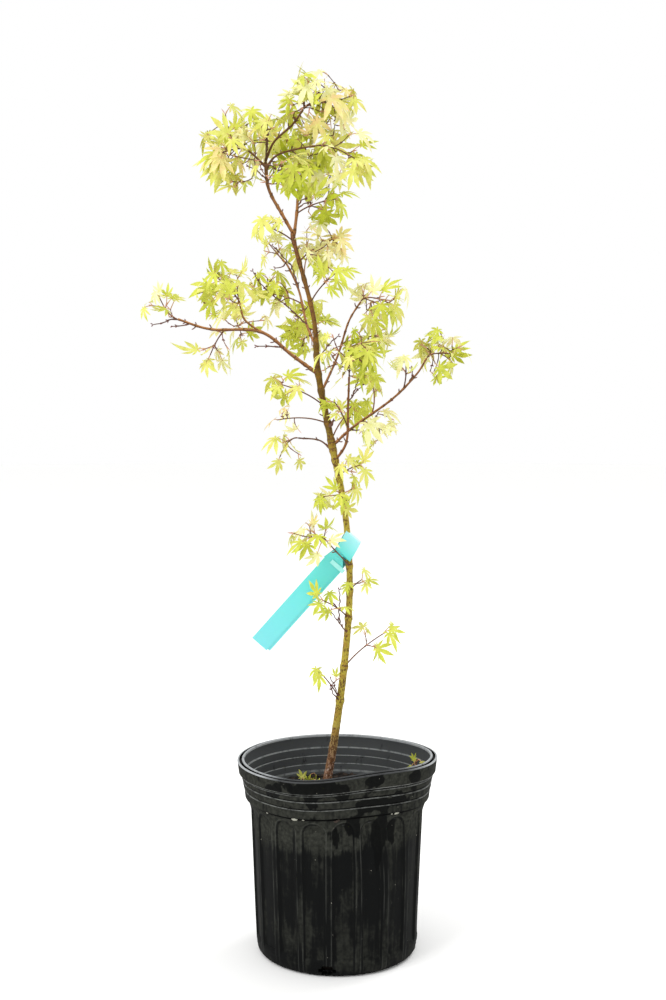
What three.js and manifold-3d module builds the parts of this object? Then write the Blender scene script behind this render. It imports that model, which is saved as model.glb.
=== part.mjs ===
// A young Japanese maple in a black nursery pot, in millimetres, +Z up.
// The origin is the middle of the pot's flat underside, and the front faces -Y.
import * as THREE from "three";
import { mergeVertices } from "three/addons/utils/BufferGeometryUtils.js";
import Module from "manifold-3d";

const wasm = await Module();
wasm.setup();

// Driving dimensions of the pot
const POT_HEIGHT = 160;
const RIM_RADIUS = 82.3;
const FOOT_RADIUS = 66.2;
const FLAT_RADIUS = 60;
const NECK_RADIUS = 71;
const NECK_HEIGHT = 118;
const COLLAR_HEIGHT = 127;
const COLLAR_STEPS = [8, 14.5];
const LIP_HEIGHT = 11.5;
const WALL = 1.5;
const FLOOR = 2.2;
const FLUTES = 18;
const FLUTE_DEPTH = 1;
const FLUTE_HALF_ANGLE = 6.2;
const FLUTE_PHASE = 4.4;
const FLUTE_BOTTOM = 14;
const FLUTE_TOP = 106;
const DENT_DEPTH = 11.5;
const DENT_HALF_ANGLE = 50;
const DENT_MIDDLE = 20;
const DENT_LOW = 60;
const DENT_HIGH = 150;
const LIP_LIFT = 3.7;
const LIFT_RISE = [-30, 40];
const LIFT_FALL = [60, 150];
const LIFT_FOOT = 138;
const DRAIN_WIDTH = 14;
const DRAIN_HEIGHT = 8;
const DRAIN_ANGLES = [-7, 83, 173, 263];

// Driving dimensions of the soil, the tag and the plant
const SOIL_TOP = 127;
const GAP = 0.3;
const TAG_TAIL = 88;
const TAG_WIDTH = 17;
const TAG_THICK = 0.8;
const TAG_LOOP = 31;
const TAG_LOOP_WIDTH = 15.5;
const TAG_LOOP_HALF = 3.3;
const TAG_FOLD = 3;
const TAG_SLOT = [0, 1.9, 320];
const TAG_RISE = 48.2;
const FLARE = 0.28;
const FLARE_HEIGHT = 7;

// Driving dimensions of the twigs and leaves, and how far they keep from their neighbours
const TWIG = 0.85;
const TWIG_TAPER = 0.85;
const SHOOT_TAPER = [0.6, 1.1];
const SHOOT_OVERLAP = 0.6;
const BLADE = 21.5;
const BLADE_SIZES = [0.82, 1.15];
const PETIOLE = 8;
const PETIOLE_SIZES = [0.6, 1.3];
const SHORTEST_PETIOLE = 3;
const SHORTEST_SHOOT = 3;
const PAIR_DEPTH = 0.92;
const PAIR_STEP = 0.02;
const PAIR_START = 0.35;
const LAST_PAIR = 0.97;
const PAIR_TURNS = [-20, 20];
const WING_TURNS = [-40, 40];
const SHOOT_LEANS = [42, 68];
const SHOOT_SHARES = [0.45, 0.8];
const SHOOT_LIFT = 0.15;
const PAIR_SPREADS = [35, 60];
const DROOPS = [-0.1, 0.8];
const SWAY = 0.35;
const TILT = 0.45;
const FACE_OUT = 0.6;
const LIMB_GAP = 2.2;
const BLADE_GAP = 5;
const SAME_GAP = 3.2;
const TWIG_GAP = 1.6;
const TAG_CLEAR = 3;
const STEM_TURN = 0.3;
const STEM_END = 0.3;
const OVERHANG = 1.12;

const DEGREE = Math.PI / 180;
const UP = new THREE.Vector3(0, 0, 1);
const LIGHT = new THREE.Vector3(0, -0.45, 0.5);

// The trunk and boughs: each point is x, y, z and the diameter there. A bough's first point lies on
// the limb that it grows from.
const LIMBS = {
  trunk: [
    [-10.7, 0, 127.3, 7.2], [-3, 1, 169, 6.6], [5.9, 2, 235, 5.8], [10.4, 2.4, 300, 5.2],
    [6.5, 1, 362, 5], [-4.7, -2, 420, 5.4], [-15.2, -3, 475, 5], [-19, -2, 520, 3.6],
    [-33.4, 1, 575, 3.3], [-36, 2, 588, 3.1],
  ],
  leader_left: [
    [-36, 2, 588, 2.9], [-43.4, 4, 601, 2.7], [-55.1, 8, 623, 2.5], [-57.8, 8, 645, 2.3],
  ],
  top_arm: [[-57.8, 8, 645, 2], [-50.5, 6, 660.5, 1.8], [-35.9, 2, 673, 1.7], [-27, 1, 685, 1.6]],
  right_curve: [
    [-57.7, 8, 640, 1.8], [-48.3, 5, 649.5, 1.6], [-31.4, -4, 653, 1.5], [-17, -9, 654.5, 1.4],
  ],
  left_arm: [[-57.8, 8, 641, 1.8], [-65, 7, 648, 1.6], [-72, 7, 654, 1.5]],
  leader_right: [
    [-35, 1.6, 583, 2.6], [-32.5, 4, 603, 2.4], [-31.5, 11, 621, 2.1], [-29.2, 15, 636, 1.9],
  ],
  bough_left: [
    [-15.2, -3, 474, 3.2], [-35.8, -6, 489, 2.8], [-61.8, -8, 508, 2.5], [-101.4, -6, 510, 2.1],
    [-128, -8, 518, 1.7],
  ],
  bough_left_up: [[-61.8, -8, 508, 1.7], [-74, -11, 517.5, 1.6], [-77.6, -12, 530, 1.5]],
  stem_left: [
    [-16.8, -3, 496, 2], [-24.5, 4, 514, 1.9], [-31, 10, 542, 1.8], [-40, 14, 562, 1.6],
    [-45, 17, 568, 1.5],
  ],
  bough_right: [
    [-3.9, -2, 416, 2.6], [12.3, -4, 431, 2.3], [44.2, -7, 454, 2.1], [63.4, -8, 473.5, 1.9],
    [72, -8, 487, 1.7],
  ],
  right_stem: [[-1.6, -1, 404, 2.3], [7.6, -7, 420, 2], [8.8, -13, 448, 1.8], [9.5, -22, 472, 1.6]],
  mid_right: [[-12.3, -3, 460, 2.3], [0.5, -4, 489, 2], [9.3, -8, 516, 1.8], [19, -11, 532, 1.6]],
  twig_left: [[-3, -2, 411, 1.9], [-14, 1, 420.5, 1.7], [-32, 5, 422.5, 1.5]],
  tag_twig: [[10.2, 2, 312, 1.8], [7, -3.8, 318.5, 1.7], [-2, -6.5, 331, 1.6], [-8, -8, 339, 1.5]],
};

// The foliage masses: the limb and the place on it, counted in its points, that the stem grows from,
// then the middle of the mass, its reach along x, y and z, and how many pairs of shoots it has.
const MASSES = {
  crown_top: ["top_arm", 3, [-15, 0, 688], [36, 32, 34], 4],
  crown_left: ["left_arm", 2, [-82, 6, 653], [33, 32, 36], 4],
  crown_right: ["right_curve", 3, [8, -14, 645], [29, 26, 29], 3],
  crown_centre: ["leader_right", 3, [-26, 16, 642], [28, 24, 27], 3],
  crown_low_right: ["leader_right", 1, [-7, -6, 611], [23, 22, 19], 2],
  crown_inner: ["leader_left", 2.85, [-55, -13, 667], [21, 20, 18], 2],
  crown_back: ["leader_left", 2.6, [-43, 46, 662], [29, 22, 26], 2],
  crown_front: ["leader_left", 2.2, [-42, -34, 630], [24, 22, 22], 2],
  neck_left: ["trunk", 8.2, [-55, -9, 590], [14, 14, 14], 0],
  upper_right: ["trunk", 7.75, [-10, 0, 578], [24, 24, 21], 2],
  upper_low: ["trunk", 7.2, [-3, -16, 551], [21, 18, 16], 1],
  upper_back: ["trunk", 7.5, [-24, 36, 572], [20, 20, 18], 1],
  inner_top: ["stem_left", 4, [-53, 24, 578], [16, 16, 18], 1],
  inner_side: ["stem_left", 1.6, [-50, 13, 538], [20, 18, 20], 1],
  left_high: ["bough_left_up", 2, [-87, -13, 541], [33, 30, 27], 3],
  left_tip: ["bough_left", 4, [-138, -9, 530], [23, 22, 18], 2],
  left_low: ["bough_left", 2.7, [-99, -3, 495], [28, 21, 21], 2],
  left_back: ["bough_left", 2.3, [-80, 30, 515], [22, 22, 20], 2],
  low_left_front: ["trunk", 5.5, [-39, -14, 463], [19, 19, 19], 1],
  inner_front: ["right_stem", 3, [9, -36, 488], [26, 26, 26], 2],
  inner_back: ["trunk", 6.3, [-24, 36, 512], [24, 26, 25], 2],
  right_high: ["mid_right", 3, [33, -15, 531], [27, 26, 25], 2],
  right_high_low: ["mid_right", 1.3, [36, 8, 504], [17, 17, 16], 1],
  right_tip: ["bough_right", 4, [84, -8, 489], [25, 24, 23], 2],
  right_tip_inner: ["bough_right", 2.4, [54, -20, 480], [15, 16, 15], 1],
  right_mid: ["bough_right", 1.5, [28, 14, 467], [20, 20, 18], 1],
  right_low: ["bough_right", 1.25, [32, -14, 431], [19, 18, 17], 1],
  right_low_back: ["trunk", 5, [14, 28, 446], [18, 20, 19], 1],
  centre_low: ["right_stem", 1.4, [0, -24, 448], [15, 16, 15], 1],
  twig_high: ["trunk", 5.25, [-43, -12, 437], [17, 15, 14], 0],
  twig_low: ["twig_left", 2, [-43, 6, 411], [17, 17, 19], 1],
  low_right: ["trunk", 4.5, [15, -9, 399], [17, 18, 18], 1],
  knee: ["trunk", 4.15, [3, -15, 376], [24, 19, 17], 1],
  tag_spray: ["tag_twig", 3, [-17, -24, 343], [24, 21, 21], 2],
  below_tag: ["trunk", 2.95, [18, -9, 306], [17, 15, 13], 0],
  shin_left: ["trunk", 2.6, [-7, -10, 288], [25, 20, 18], 1],
  shin_right: ["trunk", 1.98, [33, -5, 259], [22, 21, 20], 1],
  ankle_left: ["trunk", 1.58, [-10, -5, 226], [21, 18, 14], 0],
  sprout_left: [null, 0, [-19, -20, 146], [15, 12, 12], 0],
  sprout_right: [null, 0, [64, 8, 146], [11, 12, 14], 0],
};

const BARK = { trunk: 0x9c8436, upper: 0x6f3f2c };
const LEAF_GREENS = [0xc8d944, 0xb4d23a, 0xdbe48a, 0xd9c98a];

// Solids and meshes

function solidFrom(geometry) {
  const bare = geometry.index ? geometry.toNonIndexed() : geometry.clone();
  bare.deleteAttribute("normal");
  bare.deleteAttribute("uv");
  const merged = mergeVertices(bare, 1e-4);
  const corners = merged.index.array;
  const kept = [];
  for (let i = 0; i < corners.length; i += 3) {
    const [a, b, c] = corners.slice(i, i + 3);
    if (a !== b && b !== c && c !== a) kept.push(a, b, c);
  }
  return new wasm.Manifold(
    new wasm.Mesh({
      numProp: 3,
      vertProperties: merged.attributes.position.array,
      triVerts: new Uint32Array(kept),
    }),
  );
}

function geometryFrom(solid) {
  const { vertProperties, triVerts } = solid.getMesh();
  const geometry = new THREE.BufferGeometry();
  geometry.setAttribute("position", new THREE.Float32BufferAttribute(vertProperties, 3));
  geometry.setIndex(Array.from(triVerts));
  geometry.computeVertexNormals();
  return geometry;
}

function facets(points, triangles) {
  const geometry = new THREE.BufferGeometry();
  const corners = points.flatMap((p) => [p.x, p.y, p.z]);
  geometry.setAttribute("position", new THREE.Float32BufferAttribute(corners, 3));
  geometry.setIndex(triangles.flat());
  return geometry;
}

function finish(name, geometry, color, roughness) {
  geometry.computeVertexNormals();
  const mesh = new THREE.Mesh(geometry, new THREE.MeshStandardMaterial({ color, roughness, metalness: 0 }));
  mesh.name = name;
  return mesh;
}

const vector = (x, y, z) => new THREE.Vector3(x, y, z);
const smooth = (x) => x * x * (3 - 2 * x);
const clamp01 = (x) => Math.min(1, Math.max(0, x));
const ramp = (low, high, value) => smooth(clamp01((value - low) / (high - low)));

// The pot and soil share one shaping: columns gathered into flutes, the rim's front pushed in, and
// the lip bent up beside that dent.

const COLUMNS = FLUTES * 3;

function shapeWall(geometry) {
  const position = geometry.attributes.position;
  const step = 360 / COLUMNS;
  for (let i = 0; i < position.count; i++) {
    const x = position.getX(i);
    const z = position.getY(i);
    const y = -position.getZ(i);
    let radius = Math.hypot(x, y);
    const column = Math.round(Math.atan2(x, -y) / DEGREE / step + COLUMNS) % COLUMNS;
    const place = column % 3;
    const middle = Math.floor(column / 3) * 3 * step;
    const angle = middle + FLUTE_PHASE + [-FLUTE_HALF_ANGLE, FLUTE_HALF_ANGLE, 1.5 * step][place];
    if (radius > FLAT_RADIUS && place < 2 && z >= FLUTE_BOTTOM && z <= FLUTE_TOP) radius -= FLUTE_DEPTH;
    const turn = ((angle - DENT_MIDDLE + 540) % 360) - 180;
    const across = Math.abs(turn) < DENT_HALF_ANGLE ? Math.cos((turn / DENT_HALF_ANGLE) * 90 * DEGREE) ** 2 : 0;
    const along = smooth(clamp01((z - DENT_LOW) / (DENT_HIGH - DENT_LOW)));
    if (radius > FLAT_RADIUS) radius -= DENT_DEPTH * across * along;
    const around = ((angle + 540) % 360) - 180;
    const bulge = ramp(...LIFT_RISE, around) * (1 - ramp(...LIFT_FALL, around));
    const lift = LIP_LIFT * bulge * ramp(LIFT_FOOT, POT_HEIGHT, z);
    position.setXYZ(i, radius * Math.sin(angle * DEGREE), -radius * Math.cos(angle * DEGREE), z + lift);
  }
  return geometry;
}

function turned(profile) {
  return shapeWall(new THREE.LatheGeometry(profile.map(([r, z]) => new THREE.Vector2(r, z)), COLUMNS));
}

// The wall rises from the rounded foot to the neck, steps out three times as a collar, and ends in
// the lip. The inside follows it back down to the floor.
function makePot() {
  const lip = POT_HEIGHT - LIP_HEIGHT;
  const [first, second] = COLLAR_STEPS;
  const outside = [
    [0, 0], [FLAT_RADIUS, 0], [FOOT_RADIUS - 2, 1.6], [FOOT_RADIUS, 6],
    [FOOT_RADIUS + 0.7, FLUTE_BOTTOM], [NECK_RADIUS - 0.4, FLUTE_TOP], [NECK_RADIUS, FLUTE_TOP + 6],
    [NECK_RADIUS, NECK_HEIGHT], [NECK_RADIUS + 4.5, COLLAR_HEIGHT],
    [NECK_RADIUS + 5.4, COLLAR_HEIGHT + first], [NECK_RADIUS + 6.4, COLLAR_HEIGHT + first + 0.6],
    [NECK_RADIUS + 6.9, COLLAR_HEIGHT + second], [NECK_RADIUS + 7.9, COLLAR_HEIGHT + second + 0.6],
    [NECK_RADIUS + 8.1, lip], [RIM_RADIUS - 1.2, lip + 0.8], [RIM_RADIUS, POT_HEIGHT - 2],
    [RIM_RADIUS - 1, POT_HEIGHT],
  ];
  const inside = [
    [RIM_RADIUS - 4.2, POT_HEIGHT], [RIM_RADIUS - 5.3, lip],
    [NECK_RADIUS + 3.1, COLLAR_HEIGHT + 1], [NECK_RADIUS - WALL, NECK_HEIGHT],
    [NECK_RADIUS - 0.4 - WALL, FLUTE_TOP], [FOOT_RADIUS + 0.5 - WALL, FLUTE_BOTTOM],
    [FLAT_RADIUS + 0.2, FLOOR], [0, FLOOR],
  ];
  let pot = solidFrom(turned([...outside, ...inside]));
  for (const angle of DRAIN_ANGLES) {
    const hole = new THREE.BoxGeometry(DRAIN_WIDTH, DRAIN_WIDTH, DRAIN_HEIGHT);
    hole.translate(0, -FOOT_RADIUS, 1.5 + DRAIN_HEIGHT / 2).rotateZ(angle * DEGREE);
    pot = pot.subtract(solidFrom(hole));
  }
  return finish("pot", geometryFrom(pot), 0x2e302e, 0.45);
}

function makeSoil() {
  const bottom = FLOOR + 0.5;
  const profile = [
    [0, bottom], [FLAT_RADIUS - 1, bottom], [FOOT_RADIUS - WALL - 0.7, FLUTE_BOTTOM],
    [NECK_RADIUS - 1.5 - WALL, FLUTE_TOP], [NECK_RADIUS - 1 - WALL, NECK_HEIGHT + 0.3],
    [NECK_RADIUS + 2, SOIL_TOP], [0, SOIL_TOP],
  ];
  return finish("soil", geometryFrom(solidFrom(turned(profile))), 0x241d19, 0.95);
}

// A limb is a smooth run of its points with round tapering rings.

function limbCurve(points) {
  const places = points.map(([x, y, z]) => vector(x, y, z));
  return new THREE.CatmullRomCurve3(places, false, "catmullrom", 0.5);
}

function limbRadius(points, t) {
  const place = t * (points.length - 1);
  const span = Math.min(points.length - 2, Math.floor(place));
  return THREE.MathUtils.lerp(points[span][3], points[span + 1][3], place - span) / 2;
}

function sweep(curve, radiusAt, sides, rings, level = false) {
  const points = [];
  const triangles = [];
  let side = null;
  for (let i = 0; i <= rings; i++) {
    const centre = curve.getPoint(i / rings);
    const along = curve.getTangent(i / rings);
    const last = side ?? (Math.abs(along.z) > 0.9 ? vector(1, 0, 0) : UP.clone());
    side = last.clone().addScaledVector(along, -last.dot(along)).normalize();
    const across = vector(0, 0, 0).crossVectors(along, side);
    for (let k = 0; k < sides; k++) {
      const angle = (2 * Math.PI * k) / sides;
      const radius = radiusAt(i / rings, angle) / Math.cos(Math.PI / sides / 2);
      const point = centre.clone();
      point.addScaledVector(side, radius * Math.cos(angle)).addScaledVector(across, radius * Math.sin(angle));
      if (level && i === 0) point.addScaledVector(along, (centre.z - point.z) / along.z);
      points.push(point);
    }
  }
  for (let i = 0; i < rings; i++) {
    for (let k = 0; k < sides; k++) {
      const a = i * sides + k;
      const b = i * sides + ((k + 1) % sides);
      triangles.push([a, b, b + sides], [a, b + sides, a + sides]);
    }
  }
  const top = rings * sides;
  for (let k = 1; k < sides - 1; k++) triangles.push([0, k + 1, k], [top, top + k, top + k + 1]);
  return facets(points, triangles);
}

function limbSolid(name, extra = 0) {
  const points = LIMBS[name];
  const isTrunk = name === "trunk";
  const radiusAt = (t, angle) => {
    let radius = limbRadius(points, t) + extra;
    if (isTrunk) {
      const height = limbCurve(points).getPoint(t).z - points[0][2];
      radius *= 1 + FLARE * Math.exp(-height / FLARE_HEIGHT) * (1 + 0.5 * Math.cos(3 * angle));
    }
    return radius;
  };
  const rings = (points.length - 1) * 2;
  return solidFrom(sweep(limbCurve(points), radiusAt, isTrunk ? 8 : 5, rings + (isTrunk ? 4 : 0), isTrunk));
}

// A smaller limb is cut clear of every limb made before it, and keeps its outer piece.
function largest(solid) {
  return solid.decompose().reduce((best, piece) => (piece.volume() > best.volume() ? piece : best));
}

const swollen = {};
for (const name of Object.keys(LIMBS)) swollen[name] = limbSolid(name, GAP * 1.1);

function makeLimbs() {
  const names = Object.keys(LIMBS);
  return names.map((name, index) => {
    let solid = limbSolid(name);
    for (const earlier of names.slice(0, index)) solid = solid.subtract(swollen[earlier]);
    const color = name === "trunk" ? BARK.trunk : BARK.upper;
    return finish(name, geometryFrom(largest(solid)), color, 0.6);
  });
}

// The tag is one strip: a flat tail whose upper end opens into a loop round the trunk.

const TAG_ALONG = vector(Math.cos(TAG_RISE * DEGREE), 0, Math.sin(TAG_RISE * DEGREE));
const TAG_ACROSS = vector(TAG_ALONG.z, 0, -TAG_ALONG.x);

function tagFrame() {
  const frame = new THREE.Matrix4().makeBasis(TAG_ALONG, vector(0, -1, 0), TAG_ACROSS);
  return frame.setPosition(...TAG_SLOT);
}

function loopPath(path, half, start, end) {
  path.moveTo(start, 0);
  path.lineTo(start + half, -half);
  path.absarc(end - half, 0, half, -Math.PI / 2, Math.PI / 2, false);
  path.lineTo(start + half, half);
  path.closePath();
  return path;
}

function makeTag() {
  const wall = TAG_THICK * 0.6;
  const end = TAG_LOOP - 2;
  const loop = loopPath(new THREE.Shape(), TAG_LOOP_HALF + wall, -TAG_FOLD - wall, end + wall);
  loop.holes.push(loopPath(new THREE.Path(), TAG_LOOP_HALF, -TAG_FOLD + wall, end));
  const options = { depth: TAG_LOOP_WIDTH, bevelEnabled: false, curveSegments: 6 };
  const ring = new THREE.ExtrudeGeometry(loop, options);
  const tail = new THREE.BoxGeometry(TAG_TAIL, TAG_THICK, TAG_WIDTH);
  ring.translate(0, 0, -TAG_WIDTH / 2);
  tail.translate(-TAG_TAIL / 2 - TAG_FOLD + wall, 0, 0);
  const strip = solidFrom(ring).add(solidFrom(tail));
  return finish("tag", geometryFrom(strip).applyMatrix4(tagFrame()), 0x74dfd6, 0.35);
}

function nearTag(point) {
  const place = point.clone().applyMatrix4(tagFrame().invert());
  const thick = place.x > -TAG_CLEAR ? TAG_LOOP_HALF + TAG_CLEAR : TAG_CLEAR;
  const along = place.x > -TAG_TAIL - 2 * TAG_CLEAR && place.x < TAG_LOOP + TAG_CLEAR;
  return along && Math.abs(place.y) < thick && Math.abs(place.z) < TAG_WIDTH / 2 + TAG_CLEAR;
}

// Numbers that look random but are the same each time.
function seeded(seed) {
  let state = seed;
  const draw = () => {
    state = (state * 1664525 + 1013904223) % 4294967296;
    return state / 4294967296;
  };
  for (let i = 0; i < 4; i++) draw();
  return (low, high) => low + (high - low) * draw();
}

// A mass's stem runs from its limb through the middle of the mass, and stays inside it.

function depthIn(mass, point) {
  const [, , centre, reach] = mass;
  return Math.hypot(...[0, 1, 2].map((k) => (point.getComponent(k) - centre[k]) / reach[k]));
}

function roomIn(mass, point, direction) {
  const [, , centre, reach] = mass;
  const p = [0, 1, 2].map((k) => (point.getComponent(k) - centre[k]) / reach[k]);
  const d = [0, 1, 2].map((k) => direction.getComponent(k) / reach[k]);
  const a = d[0] ** 2 + d[1] ** 2 + d[2] ** 2;
  const b = p[0] * d[0] + p[1] * d[1] + p[2] * d[2];
  const c = p[0] ** 2 + p[1] ** 2 + p[2] ** 2 - 1;
  const inside = b * b - a * c;
  return inside <= 0 ? 0 : Math.max(0, (-b + Math.sqrt(inside)) / a);
}

function stemOf(mass) {
  const [limb, place, centre] = mass;
  const middle = vector(...centre);
  let root = vector(centre[0], centre[1], SOIL_TOP + GAP);
  let heading = UP.clone();
  if (limb) {
    const curve = limbCurve(LIMBS[limb]);
    const t = place / (LIMBS[limb].length - 1);
    root = curve.getPoint(t);
    heading = curve.getTangent(t);
    if (t === 1) root.addScaledVector(heading, GAP);
  }
  const across = middle.clone().sub(root);
  const far = across.length();
  const turn = limb && place < LIMBS[limb].length - 1 ? STEM_TURN : 1;
  heading.multiplyScalar(turn).addScaledVector(across, (1 - turn) / far).normalize();
  const bend = root.clone().addScaledVector(heading, far / 2);
  const out = across.clone().normalize();
  const end = middle.clone().addScaledVector(out, roomIn(mass, middle, out) * STEM_END);
  return new THREE.QuadraticBezierCurve3(root, bend, end);
}

// Places that a leaf keeps clear of: every limb and every stem, then the leaves already grown.
const limbPlaces = [];
for (const points of Object.values(LIMBS)) {
  const count = (points.length - 1) * 12;
  for (let i = 0; i <= count; i++) {
    limbPlaces.push({ at: limbCurve(points).getPoint(i / count), radius: limbRadius(points, i / count) });
  }
}
const grown = [];
const stems = Object.values(MASSES).map(stemOf);
stems.forEach((stem, owner) => {
  for (let i = 1; i <= 12; i++) grown.push({ at: stem.getPoint(i / 12), owner });
});

function gapTo(other, owner, leafGap) {
  if (other.owner !== owner) return leafGap;
  return other.blade ? SAME_GAP : TWIG_GAP;
}

function clear(points, owner, limbGap, leafGap) {
  for (const point of points) {
    if (nearTag(point)) return false;
    if (limbPlaces.some(({ at, radius }) => at.distanceTo(point) < radius + limbGap)) return false;
    if (grown.some((other) => other.at.distanceTo(point) < gapTo(other, owner, leafGap))) return false;
  }
  return true;
}

// A leaf: five long lobes round the place where the petiole joins, thickest there. Each lobe is its
// angle in degrees and its length as a share of the blade, and so is the foot beside the petiole.

const LOBES = [[-84, 0.5], [-40, 0.84], [0, 1], [40, 0.84], [84, 0.5]];
const FOOT_LOBE = [135, 0.06];
const LEAF_MIDDLE = 0.1;
const NOTCH = 0.174;
const TIP_DROP = 0.12;
const HALF_THICK = 0.03;
const PETIOLE_CORNERS = [[-0.24, 0.14], [0.24, 0.14], [0, -0.26]];
const LEAF_SCALES = [1, 0.87, 0.75, 0.63];
const LEAF_PLACES = [0.4, 0.7, 1];

function bladePoint(leaf, angle, distance, lift) {
  const reach = distance * leaf.size;
  return leaf.base
    .clone()
    .addScaledVector(leaf.across, Math.sin(angle * DEGREE) * reach)
    .addScaledVector(leaf.along, Math.cos(angle * DEGREE) * reach)
    .addScaledVector(leaf.face, lift * leaf.size);
}

function leafSolid(leaf) {
  const [footAngle, footLength] = FOOT_LOBE;
  const outline = [bladePoint(leaf, -footAngle, footLength, 0)];
  LOBES.forEach(([angle, length], i) => {
    outline.push(bladePoint(leaf, angle, length, -TIP_DROP * length));
    const next = LOBES[i + 1];
    if (next) outline.push(bladePoint(leaf, (angle + next[0]) / 2, NOTCH * (length + next[1]), 0));
  });
  outline.push(bladePoint(leaf, footAngle, footLength, 0));
  const count = outline.length;
  const top = count;
  const under = count + 1;
  const points = [...outline];
  points.push(bladePoint(leaf, 0, LEAF_MIDDLE, HALF_THICK), bladePoint(leaf, 0, LEAF_MIDDLE, -HALF_THICK));
  const back = leaf.base.clone().sub(leaf.foot).normalize();
  const across = leaf.across.clone().addScaledVector(back, -leaf.across.dot(back)).normalize();
  const over = vector(0, 0, 0).crossVectors(across, back);
  for (const [x, z] of PETIOLE_CORNERS) {
    points.push(leaf.foot.clone().addScaledVector(across, x).addScaledVector(over, z));
  }
  const [a, b, c] = [count + 2, count + 3, count + 4];
  const triangles = [];
  for (let i = 0; i < count; i++) {
    const next = (i + 1) % count;
    triangles.push([top, next, i]);
    if (next) triangles.push([under, i, next]);
  }
  const start = 0;
  const end = count - 1;
  triangles.push([end, start, a], [end, a, b], [start, under, c], [start, c, a]);
  triangles.push([under, end, b], [under, b, c], [b, a, c]);
  return solidFrom(facets(points, triangles));
}

function leafPlaces(leaf) {
  const places = [leaf.base];
  for (const [angle, length] of LOBES) {
    for (const share of LEAF_PLACES) {
      places.push(bladePoint(leaf, angle, length * share, -TIP_DROP * length * share));
    }
  }
  return places;
}

// A leaf aims out along its petiole and hangs over, with its face up and towards the front.
function leafPose(aim, draw) {
  const droop = draw(...DROOPS);
  const sway = vector(draw(-1, 1), draw(-1, 1), draw(-1, 1));
  const tilt = vector(draw(-1, 1), draw(-1, 1), draw(-1, 1));
  const along = aim.clone().multiplyScalar(1 - droop).addScaledVector(UP, -droop);
  along.addScaledVector(sway, SWAY).normalize();
  const face = aim.clone().multiplyScalar(FACE_OUT).add(LIGHT).addScaledVector(tilt, TILT);
  face.addScaledVector(along, -face.dot(along)).normalize();
  if (face.dot(aim) < 0) face.negate();
  return { along, face, across: vector(0, 0, 0).crossVectors(along, face) };
}

// One leaf on its petiole. Where it has no room it is tried in another pose, then smaller, and then
// left out.
function growLeaf(mass, owner, foot, aim, draw) {
  const full = BLADE * draw(...BLADE_SIZES);
  const stalk = PETIOLE * draw(...PETIOLE_SIZES);
  const poses = [leafPose(aim, draw), leafPose(aim, draw), leafPose(aim, draw)];
  for (const scale of LEAF_SCALES) {
    for (const pose of poses) {
      const size = full * scale;
      const base = foot.clone().addScaledVector(aim, Math.max(SHORTEST_PETIOLE, stalk * scale));
      const leaf = { ...pose, base, size, foot };
      const places = leafPlaces(leaf);
      const inside = places.every((place) => depthIn(mass, place) < OVERHANG);
      if (!inside || !clear(places, owner, LIMB_GAP, BLADE_GAP)) continue;
      for (const place of places) grown.push({ at: place, owner, blade: true });
      mass.leaves.push(leaf);
      return;
    }
  }
}

function growPair(mass, owner, foot, heading, side, spread, draw) {
  const angle = spread * DEGREE;
  for (const turn of [1, -1]) {
    const aim = heading.clone().multiplyScalar(Math.cos(angle)).addScaledVector(side, turn * Math.sin(angle));
    growLeaf(mass, owner, foot, aim.normalize(), draw);
  }
}

// The side shoots come off the stem in pairs, each pair a quarter turn from the last, and each shoot
// carries a pair of leaves at its end.
function growMass(name, owner) {
  const mass = MASSES[name];
  const [, , , , pairs] = mass;
  const draw = seeded(owner * 7919 + 17);
  const stem = stems[owner];
  mass.leaves = [];
  mass.shoots = [];
  let enter = 0;
  while (enter < LAST_PAIR && depthIn(mass, stem.getPoint(enter)) > PAIR_DEPTH) enter += PAIR_STEP;
  const start = draw(0, 180);
  for (let i = 0; i < pairs; i++) {
    const t = enter + (LAST_PAIR - enter) * ((i + PAIR_START) / pairs);
    const from = stem.getPoint(t);
    const heading = stem.getTangent(t);
    const level = vector(-heading.y, heading.x, 0).normalize();
    const turn = start + 90 * i + draw(...PAIR_TURNS);
    const side = level.applyAxisAngle(heading, turn * DEGREE);
    for (const sign of [1, -1]) {
      const lean = draw(...SHOOT_LEANS) * DEGREE;
      const share = draw(...SHOOT_SHARES);
      const aim = heading.clone().multiplyScalar(Math.cos(lean)).addScaledVector(side, sign * Math.sin(lean));
      aim.addScaledVector(UP, SHOOT_LIFT).normalize();
      const length = Math.max(SHORTEST_SHOOT, roomIn(mass, from, aim) * share - PETIOLE);
      const to = from.clone().addScaledVector(aim, length);
      const steps = Math.ceil(length / SAME_GAP);
      const places = [];
      for (let k = 1; k <= steps; k++) places.push(from.clone().lerp(to, k / steps));
      const fits = clear(places.slice(1), owner, TWIG_GAP, SAME_GAP);
      const wing = vector(0, 0, 0).crossVectors(aim, heading).normalize();
      wing.applyAxisAngle(aim, draw(...WING_TURNS) * DEGREE);
      if (fits) {
        for (const place of places) grown.push({ at: place, owner });
        mass.shoots.push([from, to]);
      }
      growPair(mass, owner, fits ? to : from, aim, wing, draw(...PAIR_SPREADS), draw);
    }
  }
  const tip = stem.getPoint(1);
  const heading = stem.getTangent(1);
  const wing = vector(-heading.y, heading.x, 0).normalize().applyAxisAngle(heading, draw(0, 180) * DEGREE);
  growPair(mass, owner, tip, heading, wing, draw(...PAIR_SPREADS), draw);
  growLeaf(mass, owner, tip, heading, draw);
}

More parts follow.
